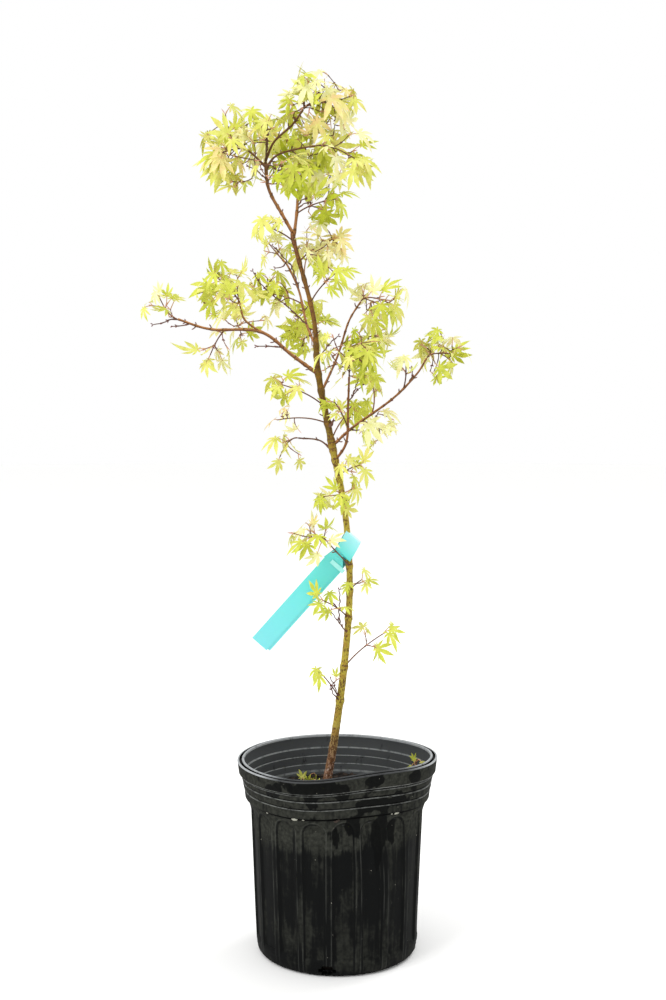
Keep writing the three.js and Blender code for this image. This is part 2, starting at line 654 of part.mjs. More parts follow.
function massMesh(name, owner) {
  const mass = MASSES[name];
  const stem = stems[owner];
  const taper = (from, to) => (t) => THREE.MathUtils.lerp(from, to, t);
  const shootRadius = taper(TWIG * SHOOT_TAPER[0], TWIG * SHOOT_TAPER[1]);
  let solid = solidFrom(sweep(stem, taper(TWIG, TWIG * TWIG_TAPER), 3, 4));
  for (const [from, to] of mass.shoots) {
    const reach = to.clone().add(to.clone().sub(from).setLength(SHOOT_OVERLAP));
    solid = solid.add(solidFrom(sweep(new THREE.LineCurve3(from, reach), shootRadius, 3, 1)));
  }
  for (const leaf of mass.leaves) solid = solid.add(leafSolid(leaf));
  if (mass[0]) solid = solid.subtract(swollen[mass[0]]);
  const mesh = finish(name, geometryFrom(largest(solid)), LEAF_GREENS[owner % LEAF_GREENS.length], 0.55);
  mesh.material.side = THREE.DoubleSide;
  return mesh;
}

const maple = new THREE.Group();
maple.add(makePot(), makeSoil(), ...makeLimbs(), makeTag());
const names = Object.keys(MASSES);
names.forEach(growMass);
maple.add(...names.map(massMesh));

export default maple;
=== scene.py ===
import math
import random
from functools import partial

import bmesh
import bpy
import numpy as np
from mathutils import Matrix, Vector, noise


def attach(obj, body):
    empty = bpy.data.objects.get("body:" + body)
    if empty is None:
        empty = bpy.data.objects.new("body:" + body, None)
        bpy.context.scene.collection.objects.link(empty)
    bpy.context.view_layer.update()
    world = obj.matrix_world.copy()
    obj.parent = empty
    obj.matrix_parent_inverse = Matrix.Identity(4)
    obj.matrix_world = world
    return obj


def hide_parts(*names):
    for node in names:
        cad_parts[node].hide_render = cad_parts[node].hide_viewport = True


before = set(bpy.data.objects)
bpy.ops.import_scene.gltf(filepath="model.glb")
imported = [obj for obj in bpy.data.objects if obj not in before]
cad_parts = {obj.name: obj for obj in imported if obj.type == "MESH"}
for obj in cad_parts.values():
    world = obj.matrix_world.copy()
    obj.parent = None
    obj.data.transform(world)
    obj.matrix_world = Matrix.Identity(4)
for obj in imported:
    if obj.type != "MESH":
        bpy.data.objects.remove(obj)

MM = 0.001
scene = bpy.context.scene
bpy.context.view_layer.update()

# Camera and studio
# The camera stands a little above the middle of the plant and looks slightly down, as in the
# photograph. The studio is a pale floor under an even white sky, with soft lamps high on both sides.

CAMERA_PLACE = (-3.3, -1128, 453)
CAMERA_DOWN = 4.1
LENS = 50
FLOOR_RADIUS = 9000
FLOOR_COLOUR = "#fbfbfa"
SKY_SHOWN = 1.0
SKY_LIGHT = 1.03
LAMPS = {
    "key": {"place": (-1500, -1300, 2100), "size": 1200, "watts": 30},
    "back": {"place": (1500, 1300, 1900), "size": 1200, "watts": 22},
}
LAMPS_AIM = (0, 0, 400)


def linear(colour):
    """A hex sRGB colour as linear red, green, blue and alpha."""
    parts = [int(colour[i:i + 2], 16) / 255 for i in (1, 3, 5)]
    return [p / 12.92 if p <= 0.04045 else ((p + 0.055) / 1.055) ** 2.4 for p in parts] + [1]


def add_node(tree, kind, *values, out=None, **named):
    """A shader node: its inputs in their order or by their names, and its settings in small letters.

    An input is a plain value, a hex colour or what another node gives. The call gives the output that is
    named, or else the first that the node has in use.
    """
    node = tree.nodes.new("ShaderNode" + kind)
    for name, value in named.items():
        if name[0].islower():
            setattr(node, name, value)
    in_order = zip([socket for socket in node.inputs if socket.enabled], values)
    by_name = [(node.inputs[name.replace("_", " ")], named[name]) for name in named if name[0].isupper()]
    for socket, value in [*in_order, *by_name]:
        if isinstance(value, bpy.types.NodeSocket):
            tree.links.new(value, socket)
        else:
            socket.default_value = linear(value) if isinstance(value, str) else value
    return node.outputs[out] if out else next(socket for socket in node.outputs if socket.enabled)


def new_material(name, **inputs):
    """A material whose shader has the inputs that are the same all over it, and its own add_node."""
    material = bpy.data.materials.new(name)
    material.use_nodes = True
    shader = material.node_tree.nodes["Principled BSDF"]
    for key, value in inputs.items():
        shader.inputs[key.replace("_", " ")].default_value = value
    return material, partial(add_node, material.node_tree)


def new_object(name, data):
    """An object in the scene that holds the given data."""
    made = bpy.data.objects.new(name, data)
    scene.collection.objects.link(made)
    return made


camera = new_object("camera", bpy.data.cameras.new("camera"))
camera.data.lens = LENS
camera.data.clip_start = 10 * MM
camera.location = Vector(CAMERA_PLACE) * MM
camera.rotation_euler = (math.radians(90 - CAMERA_DOWN), 0, 0)
scene.camera = camera
scene.view_settings.view_transform = "Standard"

sky = bpy.data.worlds.new("sky")
sky.use_nodes = True
scene.world = sky
seen = add_node(sky.node_tree, "LightPath", out="Is Camera Ray")
glow = add_node(sky.node_tree, "MapRange", seen, To_Min=SKY_LIGHT, To_Max=SKY_SHOWN)
background = sky.node_tree.nodes["Background"]
background.inputs["Color"].default_value = (1, 1, 1, 1)
sky.node_tree.links.new(glow, background.inputs["Strength"])

for lamp_name, lamp in LAMPS.items():
    light = bpy.data.lights.new(lamp_name, "AREA")
    light.energy = lamp["watts"]
    light.size = lamp["size"] * MM
    holder = new_object(lamp_name, light)
    holder.location = Vector(lamp["place"]) * MM
    aim = Vector(LAMPS_AIM) * MM - holder.location
    holder.rotation_euler = aim.to_track_quat("-Z", "Y").to_euler()

floor_mesh = bpy.data.meshes.new("floor")
floor_shape = bmesh.new()
bmesh.ops.create_circle(floor_shape, cap_ends=True, segments=96, radius=FLOOR_RADIUS * MM)
floor_shape.to_mesh(floor_mesh)
floor = new_object("floor", floor_mesh)
floor_paint, _ = new_material("painted_studio_floor", Base_Color=linear(FLOOR_COLOUR), Roughness=0.85)
floor.data.materials.append(floor_paint)

# The pot
# A blow-moulded nursery pot of black polyethylene: eighteen shallow flutes with round tops, a stepped
# collar and a double-beaded lip. Its front has been pushed in, which bent the lip up to the right of the
# middle, and old dust and water runs lie on it.

POT_HEIGHT = 160
RIM_RADIUS = 82.3
FOOT_RADIUS = 66.2
FLAT_RADIUS = 60
NECK_RADIUS = 71
NECK_HEIGHT = 118
COLLAR_FOOT = 128.6
COLLAR_TOPS = (135.7, 142.4, 148)
GROOVE = 1.1
LIP_HEIGHT = 11.5
WALL = 1.5
FLOOR_THICKNESS = 2.2
FLUTES = 18
HALF_FLUTE = 180 / FLUTES
FLUTE_DEPTH = 1.8
FLUTE_HALF_ANGLE = 8
FLUTE_PHASE = 4.4
FLUTE_BOTTOM = 12
FLUTE_TOP = 124.5
FLUTE_EDGE = 2.6
DENT_DEPTH = 11.5
DENT_HALF_ANGLE = 50
DENT_MIDDLE = 20
DENT_LOW = 60
DENT_HIGH = 150
LIP_LIFT = 3.7
LIFT_RISE = (-30, 40)
LIFT_FALL = (60, 150)
LIFT_FOOT = 138
POT_WAVE = 0.25
WAVE_FADE = 40
POT_COLUMNS = FLUTES * 28
POT_ROW = 1.5
POT_CREASE = 32
DRAIN_WIDTH = 14
DRAIN_HEIGHT = 8
DRAIN_LIFT = 1.5
DRAIN_CORNER = 2.5
DRAIN_CUT = 16
DRAIN_ANGLES = (-7, 83, 173, 263)


def smooth_step(low, high, value):
    """0 below low, 1 above high, and a smooth rise between."""
    share = np.clip((value - low) / (high - low), 0, 1)
    return share * share * (3 - 2 * share)


def shape_wall(radius, height, angle, fluted):
    """The radii of one row of the pot once it has its flutes, its dent and its slight waves."""
    if fluted:
        local = (angle - FLUTE_PHASE + HALF_FLUTE) % (2 * HALF_FLUTE) - HALF_FLUTE
        side = np.abs(np.radians(local)) * radius
        half = math.radians(FLUTE_HALF_ANGLE) * radius
        over = np.maximum(0, height - (FLUTE_TOP - half))
        inside = np.minimum(half - np.hypot(side, over), height - FLUTE_BOTTOM)
        radius = radius - FLUTE_DEPTH * smooth_step(0, FLUTE_EDGE, inside)
    turn = (angle - DENT_MIDDLE + 540) % 360 - 180
    across = np.where(np.abs(turn) < DENT_HALF_ANGLE, np.cos(np.radians(turn / DENT_HALF_ANGLE * 90)) ** 2, 0)
    dent = DENT_DEPTH * across * smooth_step(DENT_LOW, DENT_HIGH, height)
    wave = POT_WAVE * np.sin(np.radians(angle * 3 + height)) * smooth_step(0, WAVE_FADE, height)
    return radius - dent + wave


def lip_lift(height, angle):
    """How far a row of the pot is bent up at each angle, most at the lip."""
    around = (angle + 540) % 360 - 180
    bulge = smooth_step(*LIFT_RISE, around) * (1 - smooth_step(*LIFT_FALL, around))
    return LIP_LIFT * bulge * smooth_step(LIFT_FOOT, POT_HEIGHT, height)


def ring_faces(rings, columns):
    """The faces between rings of points round a line, and then the two that close its ends."""
    faces = []
    for start in range(0, (rings - 1) * columns, columns):
        for column in range(columns):
            after = (column + 1) % columns
            faces.append((start + column, start + after, start + columns + after, start + columns + column))
    last = (rings - 1) * columns
    return [*faces, tuple(range(columns))[::-1], tuple(range(last, last + columns))]


def lathe(profile, columns):
    """Rows of points round the Z axis, the faces that join them and close both ends, and their finishes.

    Each row of the profile is its radius, its height and the kind of surface above it. A fluted row is
    wall with flutes in it, and the finishes count the kinds in FINISHES.
    """
    angle = np.arange(columns) * 360 / columns
    turned = np.radians(angle)
    rings = []
    for radius, height, kind in profile:
        radii = shape_wall(np.full(columns, float(radius)), height, angle, kind == "fluted")
        heights = height + lip_lift(height, angle)
        rings.append(np.stack([radii * np.sin(turned), -radii * np.cos(turned), heights], 1))
    finishes = [FINISHES[kind] for _, _, kind in profile]
    sides = [finish for finish in finishes[:-1] for _ in range(columns)]
    return np.concatenate(rings), ring_faces(len(rings), columns), [*sides, finishes[0], finishes[-1]]


def new_piece(name, points, faces, materials, finishes=None, crease=180):
    """A mesh object made from points in millimetres, with sharp edges where it turns by the crease."""
    mesh = bpy.data.meshes.new(name)
    mesh.from_pydata((np.asarray(points) * MM).tolist(), [], faces)
    for material in materials:
        mesh.materials.append(material)
    if finishes is not None:
        mesh.polygons.foreach_set("material_index", finishes)
    mesh.update()
    mesh.set_sharp_from_angle(angle=math.radians(crease))
    return new_object(name, mesh)


def between(start, end, step, kind):
    """Profile rows of one kind from start up to end, a step apart in height."""
    count = max(1, round(abs(end[1] - start[1]) / step))
    return [(start[0] + (end[0] - start[0]) * i / count, start[1] + (end[1] - start[1]) * i / count, kind)
            for i in range(count)]


def rows(kind, radius, height, *steps):
    """Profile rows of one kind, each a step out and up from the same place."""
    return [(radius + out, height + up, kind) for out, up in steps]


def band(radius, low, high, flare):
    """One band of the collar: it leans out, and has a shoulder painted pale as painted light, partly worn,
    with a groove over it painted black as painted shade.
    """
    top = radius + flare
    return [(radius, low, "wall"), (radius + 0.3, low + 0.6, "wall"), (top, high - 1, "wall"),
            *rows("ledge", top, high, (0.1, -0.6), (-0.3, 0)), (top - 0.9, high + 0.1, "crevice"),
            (top - 0.9, high + GROOVE - 0.1, "crevice")]


FINISHES = {"wall": 0, "fluted": 0, "soil": 0, "ledge": 1, "crevice": 2, "inside": 3, "bead": 4, "rib": 5}
lip = POT_HEIGHT - LIP_HEIGHT
first, second, third = COLLAR_TOPS
pot_profile = [
    *rows("wall", 0, 0, (0.5, 0), (FLAT_RADIUS, 0), (62.4, 0.4), (64.4, 1.6), (65.7, 3.5), (FOOT_RADIUS, 6),
          (66.4, 8.5)),
    *between((FOOT_RADIUS + 0.5, 10), (NECK_RADIUS - 0.4, 106), POT_ROW, "fluted"),
    *between((NECK_RADIUS - 0.4, 106), (NECK_RADIUS + 0.1, NECK_HEIGHT), POT_ROW / 2, "fluted"),
    *between((NECK_RADIUS + 0.1, NECK_HEIGHT), (NECK_RADIUS + 1, 122), POT_ROW / 2, "fluted"),
    *between((NECK_RADIUS + 1, 122), (NECK_RADIUS + 2.6, COLLAR_FOOT - 1.9), POT_ROW / 2, "fluted"),
    *rows("crevice", NECK_RADIUS, COLLAR_FOOT, (2.6, -1.9), (2.7, -0.9), (3.2, -0.3)),
    *band(NECK_RADIUS + 4.6, COLLAR_FOOT, first, 0.9), *band(NECK_RADIUS + 5.9, first + GROOVE, second, 1),
    *band(NECK_RADIUS + 7.2, second + GROOVE, third - 0.5, 0.9),
    (RIM_RADIUS - 1.7, lip + 0.2, "ledge"), (RIM_RADIUS - 1.2, lip + 0.8, "wall"),
    (RIM_RADIUS - 0.2, POT_HEIGHT - 3, "wall"),
    *rows("bead", RIM_RADIUS, POT_HEIGHT, (0, -1.8), (-0.3, -1), (-0.9, -0.7)),
    *rows("crevice", RIM_RADIUS, POT_HEIGHT, (-1.5, -1), (-1.8, -2.8), (-3.4, -2.8)),
    *rows("bead", RIM_RADIUS, POT_HEIGHT, (-3.7, -0.9), (-4.1, -0.2), (-4.8, 0), (-5.5, -0.3), (-5.8, -1.1)),
    (RIM_RADIUS - 5.7, POT_HEIGHT - 1.9, "inside"),
    *rows("rib", RIM_RADIUS, lip, (-5.3, 0.6), (-5.6, 0)), (NECK_RADIUS + 5, lip - 0.5, "inside"),
    (NECK_RADIUS + 4.8, second - 0.5, "rib"), (NECK_RADIUS + 4, second - 1, "inside"),
    (NECK_RADIUS + 3.8, first - 0.7, "rib"), (NECK_RADIUS + 3, first - 1.2, "inside"),
    (NECK_RADIUS + 2.2, COLLAR_FOOT + 1.2, "rib"), (NECK_RADIUS + 1.8, COLLAR_FOOT - 0.6, "inside"),
    (NECK_RADIUS - WALL - 1, NECK_HEIGHT, "inside"), (NECK_RADIUS - WALL - 1.7, 106, "inside"),
    (FOOT_RADIUS - WALL - 1, FLUTE_BOTTOM, "inside"), (FLAT_RADIUS - 1, FLOOR_THICKNESS, "inside"),
    (0.5, FLOOR_THICKNESS, "inside"),
]

DRY_DUST = "#353631"
GREEN_DUST = "#1f201d"
BLACK_PLASTIC = "#0e0f0f"
WET_PLASTIC = "#060707"
SHOULDER_RUB_AND_HIGHLIGHT = "#62645f"
LIME_CRUST = "#a9a79a"
RUN_WIDTH = 4.4
RUN_STRETCH = 0.07
STAIN = 10
STAIN_STRETCH = 0.42
DUST_PATCH = 22
DUST_GRAIN = 2.8
CRUST_SPOT = 2
RUB = 6
RUB_STRETCH = 0.45
# Marks that the photograph shows on the front: the x and z of each middle, and its reach along both.
WET_MARKS = ((-16, 154.5, 27, 11), (4, 149, 8, 8), (33, 110, 14, 30), (-21, 143, 7, 10), (50, 139, 10, 9),
             (29, 137, 17, 7), (30, 157, 9, 5), (62, 156, 9, 7), (12, 121, 7, 14), (-50, 149, 8, 9))
DUSTY_MARKS = ((-55, 36, 14, 28), (-28, 33, 18, 32), (35, 28, 22, 34), (8, 20, 12, 20), (-8, 112, 22, 16),
               (68, 84, 12, 44))
FRONT_REACH = 90
FRONT_SHIFT = 0.8
# Heights that the surface changes between: dust sets in under the collar, lies thinner below it and comes
# back at the foot, and damp stains keep to the collar.
DUST_LINE = (94 * MM, 106 * MM)
THIN_DUST = (90 * MM, 108 * MM)
FOOT_DUST = (50 * MM, 24 * MM)
DAMP_LINE = (96 * MM, 124 * MM)
# Depths between which the lighter colour, scuffs and painted reflection, grows from the front's share to
# full, and the tangent of the front's turn.
LIP_FRONT = (-62 * MM, -48 * MM)
FRONT_TURN = -0.144


def per_metre(size):
    """How many features of a size in millimetres fit in a metre, for a pattern's scale."""
    return 1 / (size * MM)


def connect(material, **outputs):
    """Links what the nodes give, such as colour and relief, to the material's shader."""
    tree = material.node_tree
    for name, output in outputs.items():
        tree.links.new(output, tree.nodes["Principled BSDF"].inputs[name.replace("_", " ")])


# Blow-moulded high-density polyethylene: a dull black skin that grey-olive dust has dried on. Water has
# run down it and left dark streaks, with a few square-cut wet stains on the collar and the lip.
polyethylene, node = new_material("blow_moulded_polyethylene", IOR=1.5, Specular_IOR_Level=0.04)
place = node("TexCoord", out="Object")
rightward = node("SeparateXYZ", place, out="X")
inward = node("SeparateXYZ", place, out="Y")
height = node("SeparateXYZ", place, out="Z")


def mark_at(x, z, wide, tall):
    """1 at the middle of a mark on the front of the pot, and less and less round it."""
    moved = node("Mapping", place, Location=(-x / wide, FRONT_SHIFT, -z / tall),
                 Scale=(per_metre(wide), per_metre(FRONT_REACH), per_metre(tall)))
    return node("TexGradient", moved, gradient_type="SPHERICAL", out="Fac")


stretched = node("Mapping", place, Scale=(1, 1, RUN_STRETCH))
runs = node("TexNoise", stretched, per_metre(RUN_WIDTH), 6, 0.62, Distortion=0.4)
tall = node("Mapping", place, Scale=(1, 1, STAIN_STRETCH))
stains = node("TexNoise", tall, per_metre(STAIN), 3, 0.45)
patches = node("TexNoise", place, per_metre(DUST_PATCH), 8, 0.65)
grains = node("TexNoise", place, per_metre(DUST_GRAIN), 4)
spots = node("TexNoise", place, per_metre(CRUST_SPOT), 1)
upper = node("MapRange", height, *DUST_LINE, To_Max=0.26, interpolation_type="SMOOTHSTEP")
lower = node("MapRange", height, *FOOT_DUST, To_Max=0.03, interpolation_type="SMOOTHSTEP")
bands = node("Math", upper, lower, operation="ADD")
uneven = node("MapRange", patches, 0.3, 0.7, -0.2, 0.2)
settled = node("Math", bands, uneven, operation="ADD")
dusty = node("Math", runs, settled, operation="ADD")
for mark in DUSTY_MARKS:
    dusty = node("Math", mark_at(*mark), 0.17, dusty, operation="MULTIPLY_ADD")
thin = node("MapRange", height, *THIN_DUST, 0.58, 1)
# The inner corner of each flute keeps less dust, which paints a dark line of shade along it, and the shoulder
# beside it is painted paler: partly worn by handling, partly a painted highlight.
behind = node("Math", inward, -1, operation="MULTIPLY")
angle = node("Math", rightward, behind, operation="ARCTAN2")
turned = node("Math", angle, 180 / math.pi, -FLUTE_PHASE, operation="MULTIPLY_ADD")
across = node("Math", turned, HALF_FLUTE, -HALF_FLUTE, operation="WRAP")
arch = FLUTE_TOP - math.radians(FLUTE_HALF_ANGLE) * (NECK_RADIUS + 1)
climb = math.degrees(1 / (NECK_RADIUS + 1))
above = node("Math", height, climb / MM, -arch * climb, operation="MULTIPLY_ADD")
above = node("Math", above, 0, operation="MAXIMUM")
from_middle = node("CombineXYZ", across, above)
away = node("VectorMath", from_middle, operation="LENGTH")
corner = node("Math", away, FLUTE_HALF_ANGLE - 0.9, 0.5, operation="COMPARE")
shoulder = node("Math", away, FLUTE_HALF_ANGLE + 0.3, 0.4, operation="COMPARE")
# Painted shade: the flute corners take dust away, so they show as dark lines.
dusty = node("Math", corner, -0.18, dusty, operation="MULTIPLY_ADD")
dust_and_shade = node("MapRange", dusty, 0.5, 0.74, interpolation_type="SMOOTHSTEP")
dust_and_shade = node("Math", dust_and_shade, thin, operation="MULTIPLY")
rub = node("Math", shoulder, stains, operation="MULTIPLY")
rubbed = node("MapRange", rub, 0.38, 0.66, To_Max=0.2)
high = node("MapRange", height, *DAMP_LINE, -0.1, 0.015)
soaked = node("Math", stains, high, operation="ADD")
for mark in WET_MARKS:
    soaked = node("Math", mark_at(*mark), 0.6, soaked, operation="MULTIPLY_ADD")
wet = node("MapRange", soaked, 0.61, 0.66, To_Max=0.9, interpolation_type="SMOOTHSTEP")
speckle = node("MapRange", grains, 0.3, 0.7)
dust_colour = node("Mix", speckle, GREEN_DUST, DRY_DUST, data_type="RGBA")
dry = node("Mix", dust_and_shade, BLACK_PLASTIC, dust_colour, data_type="RGBA")
# Painted highlight, partly wear: the flute shoulders are mixed towards a pale grey.
dry = node("Mix", rubbed, dry, SHOULDER_RUB_AND_HIGHLIGHT, data_type="RGBA")
damp = node("Mix", wet, dry, WET_PLASTIC, data_type="RGBA")
crust = node("MapRange", spots, 0.8, 0.83)
colour = node("Mix", crust, damp, LIME_CRUST, data_type="RGBA")
gloss = node("Math", dust_and_shade, wet, operation="SUBTRACT")
roughness = node("MapRange", gloss, -1, To_Min=0.32, To_Max=0.9)
relief = node("Bump", Height=patches, Strength=0.5, Distance=0.6 * MM)
connect(polyethylene, Base_Color=colour, Roughness=roughness, Normal=relief)


def patched_plastic(name, dark, light, low, high, front=1, **inputs):
    """Black polyethylene turned lighter in patches: from where it is dark to light, and how much of the
    lighter shows at the front.
    """
    material, node = new_material(name, **inputs)
    place = node("TexCoord", out="Object")
    drips = node("Mapping", place, Scale=(1, 1, RUB_STRETCH))
    marks = node("TexNoise", drips, per_metre(RUB), 7, 0.65)
    share = node("MapRange", marks, low, high, interpolation_type="SMOOTHSTEP")
    rightward = node("SeparateXYZ", place, out="X")
    inward = node("SeparateXYZ", place, out="Y")
    depth = node("Math", rightward, FRONT_TURN, inward, operation="MULTIPLY_ADD")
    # At the lip's beads this lets the scuffs and the painted reflection grow from the front towards the sides
    # and back.
    front_share = node("MapRange", depth, *LIP_FRONT, front, 1)
    share = node("Math", share, front_share, operation="MULTIPLY")
    colour = node("Mix", share, dark, light, data_type="RGBA")
    relief = node("Bump", Height=marks, Strength=0.4, Distance=0.3 * MM)
    connect(material, Base_Color=colour, Normal=relief)
    return material


# The same plastic in other places: the upward-facing ledges get a pale grey line, partly wear and partly
# painted light; the crevices are black as painted shade; the dry inside has gone grey, with ribs made paler
# as painted light on their tops; and the beads of the lip are scuffed, with a painted reflection that grows
# from the front towards the sides and back.
pot_finishes = [
    polyethylene,
    # Painted light, partly wear: the collar's upward-facing ledges get a pale grey line.
    patched_plastic("rubbed_and_lit_polyethylene", "#2c2d2b", "#646663", 0.36, 0.6,
                   Roughness=0.5, Specular_IOR_Level=0.2),
    # Painted shade: the crevices under the ledges and the lip, and the groove between the beads, are near
    # black.
    patched_plastic("shaded_crevice_polyethylene", "#020202", "#090a0a", 0.4, 0.7,
                   Roughness=0.5, Specular_IOR_Level=0.03),
    patched_plastic("dry_grey_polyethylene", "#101111", "#454748", 0.26, 0.4,
                   Roughness=0.7, Specular_IOR_Level=0.15),
    # Scuffs and painted reflection: the lip's beads turn pale grey towards the sides and back, and stay dark
    # at the front.
    patched_plastic("scuffed_and_reflecting_polyethylene", "#0c0d0e", "#9a9d9f", 0.2, 0.5, 0.14,
                   Roughness=0.5, Specular_IOR_Level=0.12),
    # Painted light: the tops of the ribs inside the pot are paler.
    patched_plastic("lit_rib_polyethylene", "#424545", "#767979", 0.3, 0.55,
                   Roughness=0.6, Specular_IOR_Level=0.2),
]

points, faces, finishes = lathe(pot_profile, POT_COLUMNS)
pot = new_piece("nursery_pot", points, faces, pot_finishes, finishes, crease=POT_CREASE)
for angle in DRAIN_ANGLES:
    turn = math.radians(angle)
    cutter_mesh = bpy.data.meshes.new("drain")
    cutter_shape = bmesh.new()
    bmesh.ops.create_cube(cutter_shape, size=1)
    size = (DRAIN_WIDTH * MM, DRAIN_CUT * MM, DRAIN_HEIGHT * MM)
    bmesh.ops.scale(cutter_shape, vec=size, verts=cutter_shape.verts)
    upright = [e for e in cutter_shape.edges if abs(e.verts[0].co.y - e.verts[1].co.y) > MM]
    bmesh.ops.bevel(cutter_shape, geom=upright, offset=DRAIN_CORNER * MM, segments=4, affect="EDGES")
    cutter_shape.to_mesh(cutter_mesh)
    cutter = new_object("drain", cutter_mesh)
    cutter.location = (FOOT_RADIUS * MM * math.sin(turn), -FOOT_RADIUS * MM * math.cos(turn),
                       (DRAIN_LIFT + DRAIN_HEIGHT / 2) * MM)
    cutter.rotation_euler = (0, 0, turn)
    cut = pot.modifiers.new("drain", "BOOLEAN")
    cut.operation = "DIFFERENCE"
    cut.solver = "EXACT"
    cut.object = cutter
    bpy.context.view_layer.objects.active = pot
    bpy.ops.object.modifier_apply(modifier=cut.name)
    bpy.data.objects.remove(cutter)
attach(pot, "root")
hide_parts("pot")


def mottled(name, dark, light, grain, detail, **inputs):
    """A material whose colour varies between two, with a grain of a size in millimetres."""
    material, node = new_material(name, **inputs)
    patches = node("TexNoise", node("TexCoord", out="Object"), per_metre(grain), detail)
    connect(material, Base_Color=node("Mix", patches, dark, light, data_type="RGBA"))
    return material


# Lime from the tap water has dried as pale crumbs in the corner under the collar: each has its angle round
# the pot and its half width.
CRUMBS = ((-26.5, 2.6), (-21, 1), (43, 2.4), (39.5, 1.1), (-48, 1.2), (97, 1.8), (151, 2.2), (-118, 1.4),
          (-163, 1.9))
lime_crust = mottled("dried_lime", "#57564a", "#c9c8bb", 0.8, 5, Roughness=0.95, Specular_IOR_Level=0.2)
crumb_shape = bmesh.new()
for angle, size in CRUMBS:
    turn = math.radians(angle)
    bulge = shape_wall(np.array([NECK_RADIUS + 3.6]), COLLAR_FOOT, np.array([angle % 360.0]), False)
    radius = float(bulge[0])
    added = bmesh.ops.create_icosphere(crumb_shape, subdivisions=2, radius=1)["verts"]
    for vertex in added:
        lump = vertex.co * (1 + 0.35 * noise.noise(vertex.co * 1.6 + Vector((angle, 0, 0))))
        x, y, z = lump.x * size, lump.y * size * 0.35, lump.z * size * 0.4
        vertex.co = Vector((math.cos(turn) * x + math.sin(turn) * (radius - y),
                            math.sin(turn) * x - math.cos(turn) * (radius - y), COLLAR_FOOT - 1.1 + z)) * MM
crumb_mesh = bpy.data.meshes.new("lime_crumbs")
crumb_shape.to_mesh(crumb_mesh)
crumb_mesh.materials.append(lime_crust)
lime = new_object("lime_crumbs", crumb_mesh)
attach(lime, "root")

# The potting mix
# Damp composted bark fills the pot to the foot of its collar. Its top is a crumbled surface with chips
# of bark and a few white grains of perlite lying on it.

SOIL_TOP = 127
SOIL_FLOOR = 2.7
SOIL_ROUGHNESS = 1.6
SOIL_CLODS = 9
SOIL_CRUMBS = 3.2
SOIL_RINGS = 48
SOIL_COLUMNS = 144
CHIPS = 420
CHIP_SIZES = (2.2, 7.5)
PERLITE_SIZE = 2.2
PERLITE_SHARE = 0.05
TRUNK_FOOT = (-10.7, 0)
TRUNK_CLEARANCE = 8
# A chip is a worn block: its corners, and the faces that join them.
BLOCK_CORNERS = [(x, y, z) for z in (-1, 1) for x, y in ((-1, -1), (1, -1), (1, 1), (-1, 1))]
BLOCK_FACES = ((0, 3, 2, 1), (4, 5, 6, 7), (0, 1, 5, 4), (1, 2, 6, 5), (2, 3, 7, 6), (3, 0, 4, 7))

# Composted pine bark: dark brown, damp and matt, with a sheen where it is wet.
bark_mix, node = new_material("damp_bark_mix", Specular_IOR_Level=0.3)
place = node("TexCoord", out="Object")
crumbs = node("TexNoise", place, per_metre(2.5), 8)
colour = node("Mix", crumbs, "#060504", "#211913", data_type="RGBA")
damp = node("MapRange", crumbs, To_Min=0.45, To_Max=1)
relief = node("Bump", Height=crumbs, Distance=1 * MM)
connect(bark_mix, Base_Color=colour, Roughness=damp, Normal=relief)
chip_bark = mottled("pine_bark_chips", "#100b08", "#3c2c20", 1.5, 6, Roughness=0.85)
perlite, _ = new_material("expanded_perlite", Base_Color=linear("#c9c6bd"), Roughness=0.95)


def soil_height(x, y):
    """How high the crumbled surface lies at a place."""
    clods = noise.noise(Vector((x / SOIL_CLODS, y / SOIL_CLODS, 3)))
    crumbs = noise.noise(Vector((x / SOIL_CRUMBS, y / SOIL_CRUMBS, 8)))
    return SOIL_TOP - 0.8 + SOIL_ROUGHNESS * (clods + 0.6 * crumbs)


soil_sides = rows("soil", 0, 0, (0.5, SOIL_FLOOR), (FLAT_RADIUS - 3, SOIL_FLOOR),
                  (FOOT_RADIUS - WALL - 2.2, 14), (NECK_RADIUS - WALL - 2.8, 106),
                  (NECK_RADIUS - WALL - 2, NECK_HEIGHT), (NECK_RADIUS + 0.6, SOIL_TOP - 1.5))
soil_top = [(max(0.5, (NECK_RADIUS + 0.6) * (1 - ring / SOIL_RINGS)), SOIL_TOP, "soil")
            for ring in range(SOIL_RINGS + 1)]
points, faces, _ = lathe(soil_sides + soil_top, SOIL_COLUMNS)
for point in points[len(soil_sides) * SOIL_COLUMNS:]:
    point[2] = soil_height(point[0], point[1])
soil = new_piece("potting_mix", points, faces, [bark_mix])
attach(soil, "root")
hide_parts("soil")

